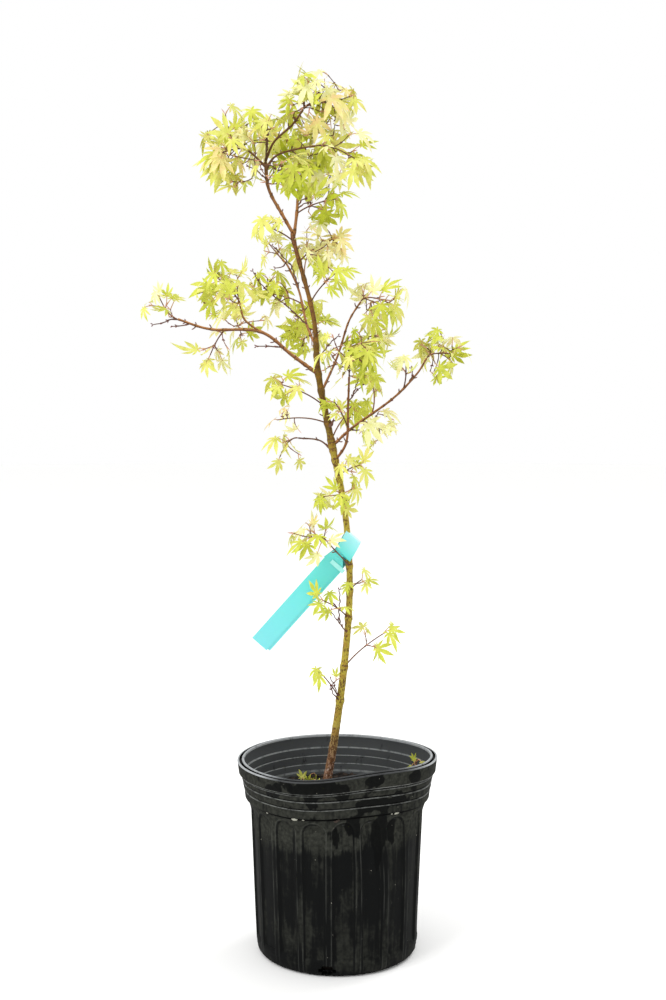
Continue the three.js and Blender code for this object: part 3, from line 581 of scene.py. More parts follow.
dice = random.Random(11)
points, faces, finishes = [], [], []
for _ in range(CHIPS):
    away = (NECK_RADIUS - 1) * math.sqrt(dice.random())
    turn = dice.uniform(0, 2 * math.pi)
    x, y = away * math.sin(turn), -away * math.cos(turn)
    dent_room = DENT_DEPTH if abs(math.degrees(turn) % 360 - DENT_MIDDLE) < DENT_HALF_ANGLE else 0
    from_trunk = math.hypot(x - TRUNK_FOOT[0], y - TRUNK_FOOT[1])
    if from_trunk < TRUNK_CLEARANCE or away > NECK_RADIUS - 2 - dent_room:
        continue
    white = dice.random() < PERLITE_SHARE
    size = PERLITE_SIZE if white else dice.uniform(*CHIP_SIZES)
    width = size * dice.uniform(0.4, 0.8)
    height = size * (0.8 if white else dice.uniform(0.15, 0.4))
    sides = Vector((size, width, height)) / 2
    lean = Vector((dice.uniform(-0.5, 0.5), dice.uniform(-0.5, 0.5), 1)).to_track_quat("Z", "Y").to_matrix()
    spin = Vector((math.cos(turn * 7), math.sin(turn * 7), 0)).to_track_quat("X", "Z").to_matrix()
    start = len(points)
    for corner in BLOCK_CORNERS:
        worn = Vector([c * s * dice.uniform(0.65, 1) for c, s in zip(corner, sides)])
        points.append(lean @ spin @ worn + Vector((x, y, soil_height(x, y) + sides.z * 0.6)))
    for face in BLOCK_FACES:
        faces.append(tuple(start + corner for corner in face))
        finishes.append(1 if white else 0)
chips = new_piece("bark_chips", points, faces, [chip_bark, perlite], finishes, crease=20)
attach(chips, "root")

# The trunk and boughs
# A young maple has smooth thin bark: olive-yellow and speckled on the old wood, red-brown higher up,
# with a raised ring at every node and a swollen collar where a bough leaves.

# Each point of a limb is x, y, z and the diameter there, and its first point lies on its carrier.
LIMBS = {
    "trunk": [
        (-10.7, 0, 127.3, 7.2), (-3, 1, 169, 6.6), (5.9, 2, 235, 5.8), (10.4, 2.4, 300, 5.2),
        (6.5, 1, 362, 5), (-4.7, -2, 420, 5.4), (-15.2, -3, 475, 5), (-19, -2, 520, 3.6),
        (-33.4, 1, 575, 3.3), (-36, 2, 588, 3.1),
    ],
    "leader_left": [(-36, 2, 588, 2.9), (-43.4, 4, 601, 2.7), (-55.1, 8, 623, 2.5), (-57.8, 8, 645, 2.3)],
    "top_arm": [(-57.8, 8, 645, 2), (-50.5, 6, 660.5, 1.8), (-35.9, 2, 673, 1.7), (-27, 1, 685, 1.6)],
    "right_curve": [
        (-57.7, 8, 640, 1.8), (-48.3, 5, 649.5, 1.6), (-31.4, -4, 653, 1.5), (-17, -9, 654.5, 1.4),
    ],
    "left_arm": [(-57.8, 8, 641, 1.8), (-65, 7, 648, 1.6), (-72, 7, 654, 1.5)],
    "leader_right": [
        (-35, 1.6, 583, 2.6), (-32.5, 4, 603, 2.4), (-31.5, 11, 621, 2.1), (-29.2, 15, 636, 1.9),
    ],
    "bough_left": [
        (-15.2, -3, 474, 3.2), (-35.8, -6, 489, 2.8), (-61.8, -8, 508, 2.5), (-101.4, -6, 510, 2.1),
        (-128, -8, 518, 1.7),
    ],
    "bough_left_up": [(-61.8, -8, 508, 1.7), (-74, -11, 517.5, 1.6), (-77.6, -12, 530, 1.5)],
    "stem_left": [
        (-16.8, -3, 496, 2), (-24.5, 4, 514, 1.9), (-31, 10, 542, 1.8), (-40, 14, 562, 1.6),
        (-45, 17, 568, 1.5),
    ],
    "bough_right": [
        (-3.9, -2, 416, 2.3), (12.3, -4, 431, 2), (44.2, -7, 454, 1.8), (63.4, -8, 473.5, 1.6),
        (72, -8, 487, 1.45),
    ],
    "right_stem": [(-1.6, -1, 404, 2.3), (7.6, -7, 420, 2), (8.8, -13, 448, 1.8), (9.5, -22, 472, 1.6)],
    "mid_right": [(-12.3, -3, 460, 2.1), (0.5, -4, 489, 1.7), (9.3, -8, 516, 1.5), (19, -11, 532, 1.4)],
    "twig_left": [(-3, -2, 411, 1.6), (-14, 1, 420.5, 1.3), (-32, 5, 422.5, 1.15)],
    "tag_twig": [(10.3, 1.5, 317, 1.4), (6, -5, 323.4, 1.2), (-2, -6.5, 332, 1.1), (-8, -8, 339, 1.05)],
}
# What the limbs carry. Each foliage mass has the limb and the place on it, counted in its points, that
# its stem grows from, then the middle of the mass, its reach along x, y and z, and its pairs of shoots.
MASSES = {
    "crown_top": ("top_arm", 3, (-15, 0, 688), (36, 32, 34), 4),
    "crown_left": ("left_arm", 2, (-82, 6, 653), (33, 32, 36), 4),
    "crown_right": ("right_curve", 3, (8, -14, 645), (29, 26, 29), 3),
    "crown_centre": ("leader_right", 3, (-26, 16, 642), (28, 24, 27), 3),
    "crown_low_right": ("leader_right", 1, (-7, -6, 611), (23, 22, 19), 2),
    "crown_inner": ("leader_left", 2.85, (-55, -13, 667), (21, 20, 18), 2),
    "crown_back": ("leader_left", 2.6, (-43, 46, 662), (29, 22, 26), 2),
    "crown_front": ("leader_left", 2.2, (-42, -34, 630), (24, 22, 22), 2),
    "neck_left": ("trunk", 8.2, (-55, -9, 590), (14, 14, 14), 0),
    "upper_right": ("trunk", 7.75, (-10, 0, 578), (24, 24, 21), 2),
    "upper_low": ("trunk", 7.2, (-3, -16, 551), (21, 18, 16), 1),
    "upper_back": ("trunk", 7.5, (-24, 36, 572), (20, 20, 18), 1),
    "inner_top": ("stem_left", 4, (-53, 24, 578), (16, 16, 18), 1),
    "inner_side": ("stem_left", 1.6, (-50, 13, 538), (20, 18, 20), 1),
    "left_high": ("bough_left_up", 2, (-87, -13, 541), (33, 30, 27), 3),
    "left_tip": ("bough_left", 4, (-138, -9, 530), (23, 22, 18), 2),
    "left_low": ("bough_left", 2.7, (-99, -3, 495), (28, 21, 21), 2),
    "left_back": ("bough_left", 2.3, (-80, 30, 515), (22, 22, 20), 2),
    "low_left_front": ("trunk", 5.5, (-39, -14, 463), (19, 19, 19), 1),
    "inner_front": ("right_stem", 3, (9, -36, 488), (26, 26, 26), 2),
    "inner_back": ("trunk", 6.3, (-24, 36, 512), (24, 26, 25), 2),
    "right_high": ("mid_right", 3, (33, -15, 531), (27, 26, 25), 2),
    "right_high_low": ("mid_right", 1.3, (36, 8, 504), (17, 17, 16), 1),
    "right_tip": ("bough_right", 4, (84, -8, 489), (25, 24, 23), 2),
    "right_tip_inner": ("bough_right", 2.4, (54, -20, 480), (15, 16, 15), 1),
    "right_mid": ("bough_right", 1.5, (28, 14, 467), (20, 20, 18), 1),
    "right_low": ("bough_right", 1.25, (32, -14, 431), (19, 18, 17), 1),
    "right_low_back": ("trunk", 5, (14, 28, 446), (18, 20, 19), 1),
    "centre_low": ("right_stem", 1.4, (0, -24, 448), (15, 16, 15), 1),
    "twig_high": ("trunk", 5.25, (-43, -12, 437), (17, 15, 14), 0),
    "twig_low": ("twig_left", 2, (-43, 6, 411), (17, 17, 19), 1),
    "low_right": ("trunk", 4.5, (15, -9, 399), (17, 18, 18), 1),
    "knee": ("trunk", 4.15, (3, -15, 376), (24, 19, 17), 1),
    "tag_spray": ("tag_twig", 3, (-17, -24, 343), (24, 21, 21), 2),
    "below_tag": ("trunk", 2.95, (18, -9, 306), (17, 15, 13), 0),
    "shin_left": ("trunk", 2.6, (-7, -10, 288), (25, 20, 18), 1),
    "shin_right": ("trunk", 1.98, (33, -5, 259), (22, 21, 20), 1),
    "ankle_left": ("trunk", 1.58, (-10, -5, 226), (21, 18, 14), 0),
    "sprout_left": (None, 0, (-22, -20, 147), (12, 11, 8.5), 0),
    "sprout_right": (None, 0, (66, 6, 153), (9, 11, 8), 0),
}
CURVE_STEPS = 200
FORK_REACH = 3
FLARE = 0.28
FLARE_HEIGHT = 7
ROOT_DEPTH = 3
ROOT_SWELL = 1.1
# The last two rows of a limb draw in, so that it ends blunt.
END_TAPER = 0.55 / 1.2
BARK_ROW = 0.7
# Where the first node of a limb may lie, how far apart the next ones are, how much closer on the boughs, and
# how far they keep from the forks and from the end.
FIRST_NODE = (5, 10)
NODE_SPACING = (9, 24)
BOUGH_SPACING = 0.6
FORK_CLEARANCE = 5
END_CLEARANCE = 3
NODE_SWELL = 0.2
TRUNK_NODE_SWELL = 0.05
NODE_WIDTH = 1.2
SCAR_WIDTH = 0.65
SCAR_RISE = 1.2
NO_SCAR = 99
COLLAR_SWELL = 0.24
COLLAR_WIDTH = 2.6
BARK_RELIEF = 0.04
BARK_LUMP = 2.2
OLD_BARK_RISE = 30
LOWEST_SPUR = 425
DARK_LIMBS = ("tag_twig", "twig_left")

FOOT_BARK = "#92705a"
# How the bark changes up the trunk: the heights from and to which it takes each colour.
BARK_CHANGES = ((150, 200, "#a99837"), (392, 440, "#674f14"), (488, 528, "#745024"), (555, 590, "#80543f"))
SPECKLE = "#52321c"
TANNED_BARK = "#8c6224"
SHADED_BARK = "#4e361a"
CRUST_BARK = "#b8a292"
LENTICEL = 1.6
TANNED_PATCH = 5
CROWDING = 11
FLAKE = 2.2
LIT_STREAK = 3
# Heights up to which the foot is old and speckled, and crusted, and from which the crown shades its shoots.
OLD_FOOT = (128 * MM, 186 * MM)
CRUSTED_FOOT = (150 * MM, 172 * MM)
CROWN_SHADE = (600 * MM, 640 * MM)

# Living bark of a young maple: smooth, faintly waxy and olive-yellow low down where the light reaches
# the green layer under it, and red-brown higher up. Brown lenticels and crusts speckle the old wood.
trunk_bark, node = new_material("young_maple_bark", IOR=1.45, Specular_IOR_Level=0.22, Roughness=0.55)
place = node("TexCoord", out="Object")
height = node("SeparateXYZ", place, out="Z")
bark = FOOT_BARK
for low, high, hue in BARK_CHANGES:
    reached = node("MapRange", height, low * MM, high * MM, interpolation_type="SMOOTHSTEP")
    bark = node("Mix", reached, bark, hue, data_type="RGBA")
blotches = node("TexNoise", place, per_metre(TANNED_PATCH), 4)
tanned = node("MapRange", blotches, 0.48, 0.62, To_Max=0.55, interpolation_type="SMOOTHSTEP")
bark = node("Mix", tanned, bark, TANNED_BARK, data_type="RGBA")
squat = node("Mapping", place, Scale=(1, 1, 0.7))
spots = node("TexNoise", squat, per_metre(LENTICEL), 4, 0.7)
patches = node("TexNoise", place, per_metre(CROWDING), 3)
old = node("MapRange", height, *OLD_FOOT, 0.14, 0)
crowded = node("MapRange", patches, 0.35, 0.7, -0.06, 0.08)
extra = node("Math", old, crowded, operation="ADD")
speckled = node("Math", spots, extra, operation="ADD")
marks = node("MapRange", speckled, 0.53, 0.59, To_Max=0.88, interpolation_type="SMOOTHSTEP")
bark = node("Mix", marks, bark, SPECKLE, data_type="RGBA")
flakes = node("TexNoise", place, per_metre(FLAKE), 3)
low_down = node("MapRange", height, *CRUSTED_FOOT, 0.05, -0.2)
flaked = node("Math", flakes, low_down, operation="ADD")
crusted = node("MapRange", flaked, 0.6, 0.66, To_Max=0.8, interpolation_type="SMOOTHSTEP")
bark = node("Mix", crusted, bark, CRUST_BARK, data_type="RGBA")
relief = node("Bump", Height=spots, Strength=0.6, Distance=0.15 * MM)
connect(trunk_bark, Base_Color=bark, Normal=relief)


def shoot_skin(name, dark, light):
    """The bark of a shoot, between its dark colour and a paler one painted on its upper side as painted
    light, with painted shade inside the crown.
    """
    material, node = new_material(name, IOR=1.45, Specular_IOR_Level=0.35, Roughness=0.5)
    place = node("TexCoord", out="Object")
    normal = node("TexCoord", out="Normal")
    facing = node("SeparateXYZ", normal, out="Z")
    streaks = node("TexNoise", place, per_metre(LIT_STREAK), 5)
    # Painted light: the upper side is mixed towards the paler colour, in streaks.
    lit = node("MapRange", facing, -0.4, 0.9, To_Max=0.6)
    lit_streaks = node("Math", lit, streaks, operation="MULTIPLY")
    share = node("MapRange", lit_streaks, From_Max=0.4)
    colour = node("Mix", share, dark, light, data_type="RGBA")
    height = node("SeparateXYZ", place, out="Z")
    shade = node("MapRange", height, *CROWN_SHADE, To_Max=0.6)
    colour = node("Mix", shade, colour, SHADED_BARK, data_type="RGBA")
    relief = node("Bump", Height=streaks, Strength=0.4, Distance=0.1 * MM)
    connect(material, Base_Color=colour, Normal=relief)
    return material


# Last year's shoots: thin red-brown bark, painted pinkish brown on the upper side as painted light. The
# thinnest twigs are darker, and their painted light is browner.
shoot_bark = shoot_skin("red_shoot_bark", "#683d1c", "#d99a5c")
twig_bark = shoot_skin("young_twig_bark", "#4c2c1c", "#a8714c")

# Dead and dormant shoots: grey-brown, dry and dull, with the buds' dark red left at the nodes.
dry_bark = mottled("dry_twig_bark", "#3c2723", "#80604f", 5, 5, Roughness=0.8, Specular_IOR_Level=0.25)
# Cork in the ring scars and round the foot of each twig: dark, dry and dull.
scar_cork = mottled("ring_scar_cork", "#3c2416", "#80603c", 0.9, 4, Roughness=0.9, Specular_IOR_Level=0.2)


def unit(vector):
    """The same direction at length one."""
    return vector / np.linalg.norm(vector)


def limb_point(name, t):
    """The place a share of the way along a limb, on a smooth curve through its points."""
    points = np.array([point[:3] for point in LIMBS[name]], float)
    last = len(points) - 1
    span = min(last - 1, int(t * last))
    share = t * last - span
    start, end = points[span], points[span + 1]
    before = points[span - 1] if span else 2 * start - end
    after = points[span + 2] if span + 2 <= last else 2 * end - start
    leave, arrive = (end - before) / 2, (after - start) / 2
    rise = end - start
    square = 3 * rise - 2 * leave - arrive
    cube = leave + arrive - 2 * rise
    return start + share * leave + share ** 2 * square + share ** 3 * cube


def limb_tangent(name, t):
    """The direction of a limb there."""
    step = 1e-4
    return unit(limb_point(name, min(1, t + step)) - limb_point(name, max(0, t - step)))


def limb_radius(name, t):
    """The radius of a limb there."""
    diameters = [point[3] for point in LIMBS[name]]
    return float(np.interp(t * (len(diameters) - 1), range(len(diameters)), diameters)) / 2


class Heap:
    """The points and faces of one piece as it is gathered, with the finish that each face takes."""

    def __init__(self):
        self.points = []
        self.faces = []
        self.finishes = []

    def add(self, points, faces, finish):
        start = len(self.points)
        self.points.extend(points)
        self.faces.extend(tuple(start + corner for corner in face) for face in faces)
        self.finishes.extend(finish if isinstance(finish, list) else [finish] * len(faces))


def tube(heap, path, radii, sides, finish, relief=None):
    """A round tapering run along a path, closed at both ends. relief gives a point's share of its radius."""
    path = np.asarray(path, float)
    tangents = np.gradient(path, axis=0)
    side = np.array([1.0, 0, 0]) if abs(unit(tangents[0])[2]) > 0.9 else np.array([0, 0, 1.0])
    points = []
    for row, (centre, tangent, radius) in enumerate(zip(path, tangents, radii)):
        along = unit(tangent)
        side = unit(side - side.dot(along) * along)
        across = np.cross(along, side)
        for column in range(sides):
            angle = 2 * math.pi * column / sides
            out = math.cos(angle) * side + math.sin(angle) * across
            share = relief(row, angle, centre + radius * out) if relief else 1
            points.append(centre + radius * share * out)
    cells = [(row, column) for row in range(len(path) - 1) for column in range(sides)]
    finishes = [finish(*cell) if callable(finish) else finish for cell in cells]
    heap.add(points, ring_faces(len(path), sides), [*finishes, finishes[0], finishes[-1]])


def bark_path(name):
    """Points along a limb about one row apart, with the share of its length and the distance at each."""
    steps = np.linspace(0, 1, CURVE_STEPS + 1)
    rough = [limb_point(name, i / CURVE_STEPS) for i in range(CURVE_STEPS + 1)]
    walked = np.concatenate([[0], np.cumsum(np.linalg.norm(np.diff(rough, axis=0), axis=1))])
    count = int(walked[-1] / BARK_ROW) + 1
    distances = np.linspace(0, walked[-1], count + 1)
    shares = np.interp(distances, walked, steps)
    return [limb_point(name, t) for t in shares], shares, distances


def forks_on(name):
    """The shares of a limb at which other limbs and the stems of masses leave it."""
    last = len(LIMBS[name]) - 1
    shares = [place / last for limb, place, *_ in MASSES.values() if limb == name]
    for other, points in LIMBS.items():
        foot = np.array(points[0][:3])
        gaps = [np.linalg.norm(limb_point(name, i / CURVE_STEPS) - foot) for i in range(CURVE_STEPS + 1)]
        if other != name and min(gaps) < FORK_REACH:
            shares.append(int(np.argmin(gaps)) / CURVE_STEPS)
    return shares


def node_distances(name, forks, length):
    """Where the ring-shaped nodes lie along a limb: at its forks, and bare ones between them."""
    spacing = random.Random(name)
    found, at = [], spacing.uniform(*FIRST_NODE)
    while at < length - END_CLEARANCE:
        if all(abs(at - fork) > FORK_CLEARANCE for fork in forks):
            found.append(at)
        at += spacing.uniform(*NODE_SPACING) * (1 if name == "trunk" else BOUGH_SPACING)
    return found


limb_nodes = []
for name in LIMBS:
    path, shares, distances = bark_path(name)
    forks = np.array([distances[min(len(distances) - 1, np.searchsorted(shares, t))] for t in forks_on(name)])
    nodes = np.array(node_distances(name, forks, distances[-1]))
    swell = TRUNK_NODE_SWELL if name == "trunk" else NODE_SWELL
    radii, scars = [], []
    for t, distance in zip(shares, distances):
        radius = limb_radius(name, t)
        radius *= 1 + swell * np.exp(-((distance - nodes) / NODE_WIDTH) ** 2).sum()
        collars = np.exp(-((distance - forks) / COLLAR_WIDTH) ** 2).sum()
        radius *= 1 + min(COLLAR_SWELL, COLLAR_SWELL * collars)
        radii.append(radius)
        rings = forks if name == "trunk" else np.concatenate([forks, nodes])
        scars.append(abs(distance - SCAR_RISE - rings).min() if len(rings) else NO_SCAR)
    for row in np.searchsorted(distances, nodes):
        if name != "trunk" or path[row][2] > LOWEST_SPUR:
            limb_nodes.append((path[row], unit(path[row + 1] - path[row - 1]), radii[row]))
    if name == "trunk":
        path = [path[0] - np.array([0, 0, ROOT_DEPTH])] + path
        radii = [radii[0] * ROOT_SWELL] + radii
        scars = [NO_SCAR] + scars
    for back in (2, 1):
        radii[-back] *= END_TAPER * back

    def scarred(row, column, name=name, scars=scars):
        """Cork where a ring scar runs, whose edges wander and which is open in places."""
        ragged = noise.noise(Vector((column * 0.55, row * 0.2, len(name))))
        return 1 if scars[row] < SCAR_WIDTH * (0.75 + 1.6 * ragged) else 0

    def bark_relief(row, angle, point, name=name):
        """Small lumps all over, and a flared, fluted foot on the trunk."""
        lumps = noise.noise(Vector(point) / BARK_LUMP) + 0.6 * noise.noise(Vector(point))
        share = 1 + BARK_RELIEF * lumps
        if name == "trunk":
            rise = max(0, point[2] - LIMBS["trunk"][0][2])
            share *= 1 + FLARE * math.exp(-rise / FLARE_HEIGHT) * (1 + 0.5 * math.cos(3 * angle))
            share *= 1 + BARK_RELIEF * math.exp(-rise / OLD_BARK_RISE) * noise.noise(Vector(point) * 0.9) * 2
        return share

    heap = Heap()
    tube(heap, path, radii, 28 if name == "trunk" else 14, scarred, bark_relief)
    is_old = name == "trunk"
    finish = trunk_bark if is_old else dry_bark if name in DARK_LIMBS else shoot_bark
    piece = new_piece(name + "_bark", heap.points, heap.faces, [finish, scar_cork], heap.finishes)
    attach(piece, "root")
    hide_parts(name)

# The tag
# A blank strip of soft turquoise PVC. Its doubled tail hangs to the left, and its upper end is bent
# round the trunk as a loop and tucked back through a slot.

TAG_TAIL = 88
TAG_WIDTH = 18
TAG_LAYER = 0.35
TAG_ROWS = 5
TAG_SHIFT = 2
TRUNK_EDGE = 4.8
TAG_LOOP = 31
TAG_LOOP_WIDTH = 15.5
TAG_LOOP_HALF = 3.3
TAG_FOLD = 3
TAG_SAG = 1.2
TAG_SLOT = (0, 1.9, 320)
TAG_RISE = 48.2
TAG_CLEAR = 3
TAG_WAVES = 14
# How far along the tag its colour changes: up the tail, and on the loop, where its upturned face is painted
# paler as painted light.
TAIL_FADE = (-85, -14)
LOOP_LIGHT = (10, 26)
TAG_TAIL_END = "#77d6d9"
TAG_COLOUR = "#62d8d3"
TAG_LIT = "#a9ebf0"
TAG_LEAN = 0.2
# The loop in front of the trunk and behind it: how far along the tag, and how far towards the viewer.
TAG_FRONT = ((-3, 0.4), (0, 0.7), (2.6, 1.1), (5.2, 2), (7.6, 3.8), (8.7, 6), (9.1, 7.4), (10.4, 7.8),
             (13, 7.5), (17.5, 6.9), (22, 5.4), (25, 3.3))
TAG_BACK = ((26.3, 0.6), (26, -2.4), (23.5, -4.4), (18, -5), (10, -4.8), (4, -3.4), (0, -1.2), (-3, -0.4))

# Plasticised PVC, calendered: a satin, slightly see-through sheet, with faint waves from the roll.
tag_along = np.array([math.cos(math.radians(TAG_RISE)), 0, math.sin(math.radians(TAG_RISE))])
tag_across = np.array([tag_along[2], 0, -tag_along[0]])
tag_front = np.array([0, -1.0, 0])
tag_start = tag_along.dot(TAG_SLOT)
pvc, node = new_material("calendered_pvc", IOR=1.53, Roughness=0.38, Subsurface_Weight=0.15,
                         Subsurface_Scale=0.5 * MM, Specular_IOR_Level=0.4)
place = node("TexCoord", out="Object")
walked = node("VectorMath", place, tuple(tag_along), operation="DOT_PRODUCT")
up_tail = node("MapRange", walked, *[(tag_start + along) * MM for along in TAIL_FADE])
# Painted light: the loop's upturned face is mixed towards a pale turquoise.
lit_loop = node("MapRange", walked, *[(tag_start + along) * MM for along in LOOP_LIGHT])
colour = node("Mix", up_tail, TAG_TAIL_END, TAG_COLOUR, data_type="RGBA")
colour = node("Mix", lit_loop, colour, TAG_LIT, data_type="RGBA")
waves = node("TexNoise", place, per_metre(TAG_WAVES), 2)
relief = node("Bump", Height=waves, Strength=0.3, Distance=0.6 * MM)
connect(pvc, Base_Color=colour, Normal=relief)
# The inside of the loop, where the strip's reverse shows, is painted a deeper, matt turquoise as painted
# shade.
shaded_pvc = mottled("shaded_pvc_reverse", "#3fa3a6", "#4fb1b6", 9, 3, IOR=1.53, Roughness=0.55)
# Where the sheet is folded over at the slot it is painted pale as a painted highlight.
lit_fold_pvc = mottled("lit_fold_pvc", "#86e6e2", "#bdf6f4", 3, 3, IOR=1.53, Roughness=0.5)


def strip(heap, path, edges, thickness, lean=0, outer=0, inner=0):
    """A bent sheet: its middle line is a list of (along, front) places, and its two edges lie across it.

    edges is a pair of places across, or gives them at a place. lean shifts the sheet aside as it goes out
    in front, and outer and inner are the finishes of its two sides.
    """
    path = np.asarray(path, float)
    tangents = np.gradient(path, axis=0)
    points = []
    for (along, front), tangent in zip(path, tangents):
        normal = np.array([-tangent[1], tangent[0]]) / np.hypot(*tangent)
        for side in (-0.5, 0.5):
            for k in range(TAG_ROWS):
                low, high = edges(along, front) if callable(edges) else edges
                across = low + (high - low) * k / (TAG_ROWS - 1) - lean * max(0, along - 8)
                place = (along + side * thickness * normal[0]) * tag_along
                place = place + (front + side * thickness * normal[1]) * tag_front
                points.append(np.array(TAG_SLOT) + place + across * tag_across)
    faces, finishes = [], []
    ring = list(range(TAG_ROWS)) + list(range(2 * TAG_ROWS - 1, TAG_ROWS - 1, -1))
    last = (len(path) - 1) * len(ring)
    for start in range(0, last, len(ring)):
        for k in range(len(ring)):
            a, b = start + ring[k], start + ring[(k + 1) % len(ring)]
            faces.append((a, b, len(ring) + b, len(ring) + a))
            finishes.append(inner if k < TAG_ROWS - 1 else outer)
    faces.append(tuple(reversed(ring)))
    faces.append(tuple(last + k for k in ring))
    heap.add(points, faces, finishes + [outer, outer])


def tail_line(start, front):
    """The tail's middle line, which sags very slightly away from the viewer."""
    places = np.linspace(start, -TAG_FOLD, 24)
    return [(along, front - TAG_SAG * math.sin(math.pi * (along - start) / -start)) for along in places]


def smoothed(line):
    """The line with the corners at its places rounded off."""
    for _ in range(3):
        line[1:-1] = (line[:-2] + 2 * line[1:-1] + line[2:]) / 4
    return line


def loop_line():
    """The loop's middle line: a smooth run through its places, out in front and back behind the trunk."""
    places = np.array(TAG_FRONT + TAG_BACK, float)
    shares = np.linspace(0, len(places) - 1, 120)
    return smoothed(np.stack([np.interp(shares, range(len(places)), places[:, k]) for k in (0, 1)], 1))


def loop_edges(along, front):
    """The loop is level with the tail at its foot, and its rising side stays to the left of the trunk."""
    low = -half - TAG_SHIFT * max(0, 1 - along / 8)
    beside_trunk = (TRUNK_EDGE - tag_along[0] * along) / tag_across[0]
    return low, min(TAG_LOOP_WIDTH - half, beside_trunk if along < 8.4 and front > 0 else TAG_WIDTH)


heap = Heap()
half = TAG_WIDTH / 2
left, right = -half - TAG_SHIFT, half - TAG_SHIFT
strip(heap, tail_line(-TAG_TAIL - TAG_FOLD - 1.2, 0.3), (left, right - 2.2), TAG_LAYER)
strip(heap, tail_line(-TAG_TAIL - TAG_FOLD + 0.3, -0.3), (left + 1.8, right), TAG_LAYER)
strip(heap, loop_line(), loop_edges, TAG_LAYER, TAG_LEAN, inner=1)
fold_line = [(along, 1.5) for along in np.linspace(-3.4, 0.2, 4)]
strip(heap, fold_line, (4 - half, right + 1.6), TAG_LAYER, outer=2, inner=2)
tag = new_piece("plant_tag", heap.points, heap.faces, [pvc, shaded_pvc, lit_fold_pvc], heap.finishes, crease=35)
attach(tag, "root")
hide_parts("tag")

# The twigs
# Every foliage mass grows from its place on a limb by one rule: a stem into the middle of the mass,
# pairs of side shoots a quarter turn apart, and a pair of leaves at the end of each.

TWIG = 0.62
TWIG_TIP = 0.45
SHOOT_RADIUS = 0.42
BLADE = 21.5
BLADE_SIZES = (0.82, 1.15)
BLADE_SHOWN = 1.03
PETIOLE = 8
PETIOLE_SIZES = (0.6, 1.3)
SHORTEST_PETIOLE = 3
SHORTEST_SHOOT = 3
PAIR_DEPTH = 0.92
PAIR_STEP = 0.02
PAIR_START = 0.35
LAST_PAIR = 0.97
PAIR_TURNS = (-20, 20)
WING_TURNS = (-40, 40)
SHOOT_LEANS = (42, 68)
SHOOT_SHARES = (0.45, 0.8)
SHOOT_LIFT = 0.15
PAIR_SPREADS = (35, 60)
DROOPS = (-0.3, 0.75)
SWAY = 0.35
TILT = 0.45
FACE_OUT = 0.6
LIGHT = np.array([0, -0.6, 0.45])
STEM_TURN = 0.3
STEM_END = 0.3
OVERHANG = 1.24
# Masses at the outline keep closer to their reach, so that the plant doesn't grow wider or taller.
TRIMMED = ("crown_top", "crown_left", "crown_right", "left_tip", "right_tip", "left_high")
TRIMMED_OVERHANG = 1.12
# Limbs that the photograph shows in front of their leaves, and how far leaves keep from the view of them.
BARE_LIMBS = ("leader_left", "top_arm", "right_curve", "left_arm", "bough_left", "stem_left", "mid_right",
              "right_stem", "bough_right")
BARE_GAP = 2.6
GAP = 0.3
LOBES = ((-84, 0.5), (-40, 0.84), (0, 1), (40, 0.84), (84, 0.5))
TIP_DROP = 0.12
LEAF_PLACES = (0.4, 0.7, 1)
LEAF_SCALES = (1, 0.87, 0.75, 0.63)
# How far growth keeps from the limbs, from other masses, and from its own mass's blades and twigs.
LEAF_GAPS = (1.2, 2.4, 2.0, 1.0)
SHOOT_GAPS = (1.0, 2.0, 2.0, 1.0)
FINE_GAPS = (0.8, 1.5, 1.3, 0.8)
# How much of a mass goes to each leaf, in cubic millimetres, and the volume of a ball of radius one.
LEAF_ROOM = 3900
BALL = 4.19
# Masses that are fuller or thinner than the rest, as a share, and the ones whose leaves are smaller.
FULLNESS = {"crown_top": 1.15, "crown_centre": 1.7, "crown_left": 0.95, "crown_right": 0.45,
            "upper_right": 1.4, "left_high": 0.85, "left_low": 0.6, "left_tip": 0.3, "inner_front": 1.5,
            "inner_back": 1.2, "right_high": 0.9, "right_high_low": 1.2, "right_mid": 0.6, "right_tip": 1.3,
            "shin_left": 0.6, "shin_right": 0.65, "ankle_left": 0.6, "sprout_left": 1.5, "sprout_right": 1.2}
GROWN = {"left_low": 0.84, "left_tip": 0.56, "shin_left": 0.7, "shin_right": 0.7, "ankle_left": 0.52,
         "below_tag": 0.64, "tag_spray": 0.8, "sprout_left": 0.56, "sprout_right": 0.56, "right_tip": 1.04}
FEWEST_LEAVES = 4
# Seedlings hardly droop yet: their leaves lie turned to the sky and the light at the front.
SEEDLING_LIGHT = np.array([0, -0.9, 1])
SEEDLING_DROOP = 0.3
# The finer twigs: how often one is tried, their leaves' sizes, their length, how deep in the mass they
# reach, how many places each picks from, and how far they keep on from what carries them.
TWIG_TRIES = 220
FINE_SCALES = (0.86, 0.74, 0.62)
FINE_TWIGS = (4, 24)
FINE_DEPTH = 0.85
SPOTS = 7
FINE_ONWARD = -0.2
# How far apart the places are that a shoot and a finer twig take up.
SHOOT_STEP = 3.2
FINE_STEP = 3
UP = np.array([0, 0, 1.0])


def seeded(seed):
    """Numbers that look random but are the same each time, as draw(low, high)."""
    state = seed

    def step():
        nonlocal state
        state = (state * 1664525 + 1013904223) % 4294967296
        return state / 4294967296

    for _ in range(4):
        step()
    return lambda low, high: low + (high - low) * step()


def turned_about(vector, axis, degrees):
    """The vector turned about an axis of length one."""
    angle = math.radians(degrees)
    cosine, sine = math.cos(angle), math.sin(angle)
    return vector * cosine + np.cross(axis, vector) * sine + axis * axis.dot(vector) * (1 - cosine)


def depth_in(mass, points):
    """0 at the middle of a mass and 1 at its reach."""
    return np.linalg.norm((points - np.array(mass[2])) / np.array(mass[3]), axis=-1)


